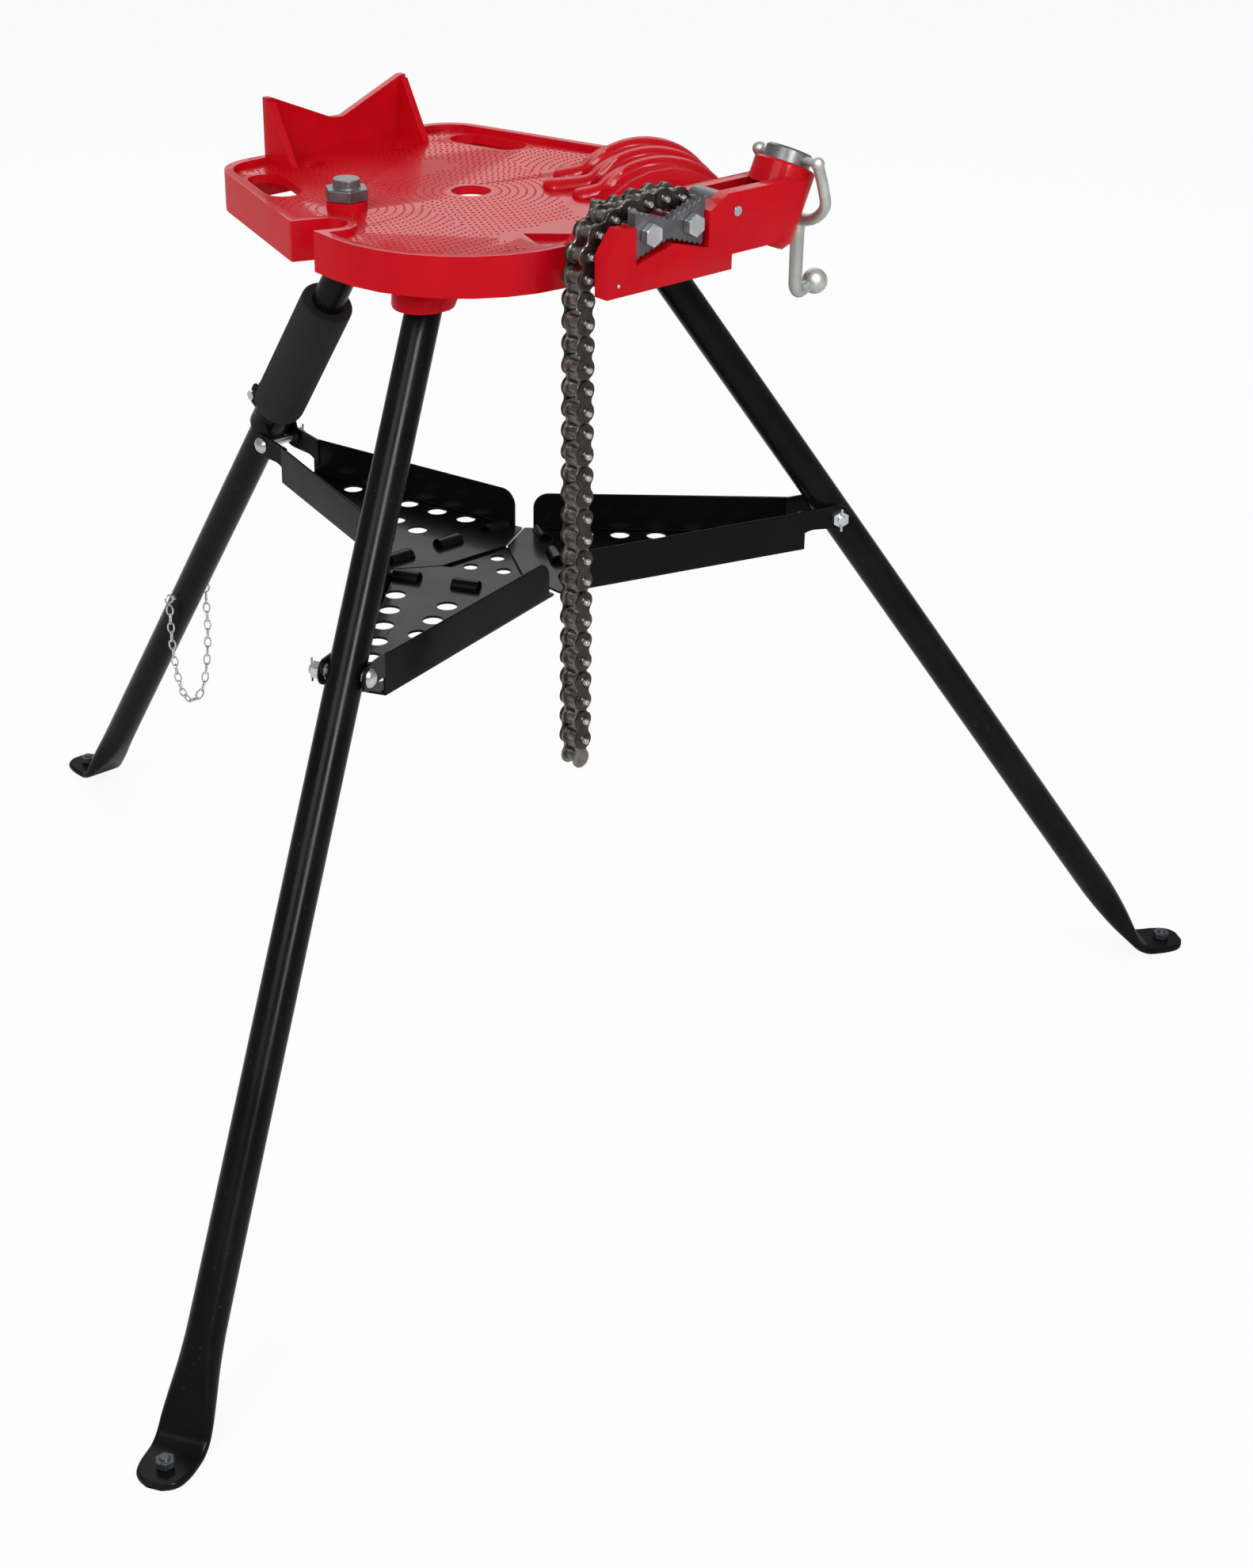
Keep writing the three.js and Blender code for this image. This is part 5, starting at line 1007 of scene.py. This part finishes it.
# %% [markdown]
# The stand is shown on a plain pale floor under soft studio light. The world is white to the camera, dimmer to
# matt surfaces and dimmer still in reflections, so that colours come out about as they are written. One lamp
# shows only as the long highlight on the legs, and one only lights matt surfaces.

# %% Floor, light and camera (metres)
WHITE = (1.0, 1.0, 1.0, 1.0)
FLOOR_COLOUR = (0.93, 0.93, 0.93, 1.0)
FLOOR_HALF, FLOOR_DROP, FLOOR_GLOW = 30.0, 0.0005, 0.92
WORLD_LEVEL, WORLD_TO_CAMERA, WORLD_MIRRORED = 0.5, 0.5, 0.15
MIDDLE = (0.2, 0.0, 0.6)
CAMERA_PLACE = ((1859.19 + CENTRE_X) * MM, -1.54763, 1.50021)
AZIMUTH, ELEVATION, ROLL = (math.radians(a) for a in (47.108, 26.96, 0.965))
SENSOR, FOCAL_PIXELS, PHOTO_WIDTH = 36.0, 3491.01, 1582

floor_mesh = bpy.data.meshes.new("floor")
floor_mesh.from_pydata([(x * FLOOR_HALF, y * FLOOR_HALF, -FLOOR_DROP)
                        for x, y in ((-1, -1), (1, -1), (1, 1), (-1, 1))], [], [(0, 1, 2, 3)])
floor = linked("floor", floor_mesh)
floor_paint = bpy.data.materials.new("floor_paint")
here = blank(floor_paint)
rays = here.node("ShaderNodeLightPath", "Is Camera Ray")
diffuse = here.node("ShaderNodeBsdfDiffuse", sockets={"Color": FLOOR_COLOUR})
glow = here.node("ShaderNodeEmission", sockets={"Color": WHITE, "Strength": 1.0})
mixed = here.node("ShaderNodeMixShader", sockets={0: rays * FLOOR_GLOW, 1: diffuse, 2: glow})
here.node("ShaderNodeOutputMaterial", sockets={"Surface": mixed})
floor_mesh.materials.append(floor_paint)

world = bpy.data.worlds.new("studio")
here = blank(world)
rays = here.node("ShaderNodeLightPath", "Is Camera Ray")
glossy = here.node("ShaderNodeLightPath", "Is Glossy Ray")
level = WORLD_LEVEL + WORLD_TO_CAMERA * rays - WORLD_MIRRORED * glossy
sky = here.node("ShaderNodeBackground", sockets={"Color": WHITE, "Strength": level})
here.node("ShaderNodeOutputWorld", sockets={"Surface": sky})
bpy.context.scene.world = world


def softbox(name, place, target, size, power, matt=True, mirrored=True):
    """An area lamp at place that faces target. It lights matt surfaces, shows in reflections, or both."""
    lamp = bpy.data.lights.new(name, "AREA")
    lamp.shape = "RECTANGLE"
    lamp.size, lamp.size_y = size
    lamp.energy = power
    holder = linked(name, lamp)
    holder.location = place
    holder.visible_diffuse = matt
    holder.visible_glossy = mirrored
    away = np.array(place, float) - np.array(target, float)
    holder.rotation_euler = Vector(away).to_track_quat("Z", "Y").to_euler()


softbox("key_softbox", (1.2, -2.6, 2.9), MIDDLE, (1.6, 1.6), 46)
softbox("fill_softbox", (2.9, 0.9, 1.9), MIDDLE, (1.4, 1.8), 22, mirrored=False)
softbox("leg_strip", (2.6, -0.9, 2.7), (0.3, -0.4, 0.5), (0.5, 2.4), 170, matt=False)
softbox("back_softbox", (-2.2, 1.8, 2.6), (0.1, 0.0, 0.8), (3.0, 2.0), 30)

back = np.array([math.sin(AZIMUTH) * math.cos(ELEVATION), -math.cos(AZIMUTH) * math.cos(ELEVATION),
                 math.sin(ELEVATION)])
right = np.array([math.cos(AZIMUTH), math.sin(AZIMUTH), 0.0])
up = np.cross(back, right)
right, up = math.cos(ROLL) * right + math.sin(ROLL) * up, math.cos(ROLL) * up - math.sin(ROLL) * right
lens = bpy.data.cameras.new("camera")
lens.sensor_fit = "HORIZONTAL"
lens.sensor_width = SENSOR
lens.lens = SENSOR * FOCAL_PIXELS / PHOTO_WIDTH
camera = linked("camera", lens)
camera.matrix_world = Matrix([[right[i], up[i], back[i], CAMERA_PLACE[i]] for i in range(3)] + [[0, 0, 0, 1]])
bpy.context.scene.camera = camera
bpy.context.scene.view_settings.view_transform = "Standard"
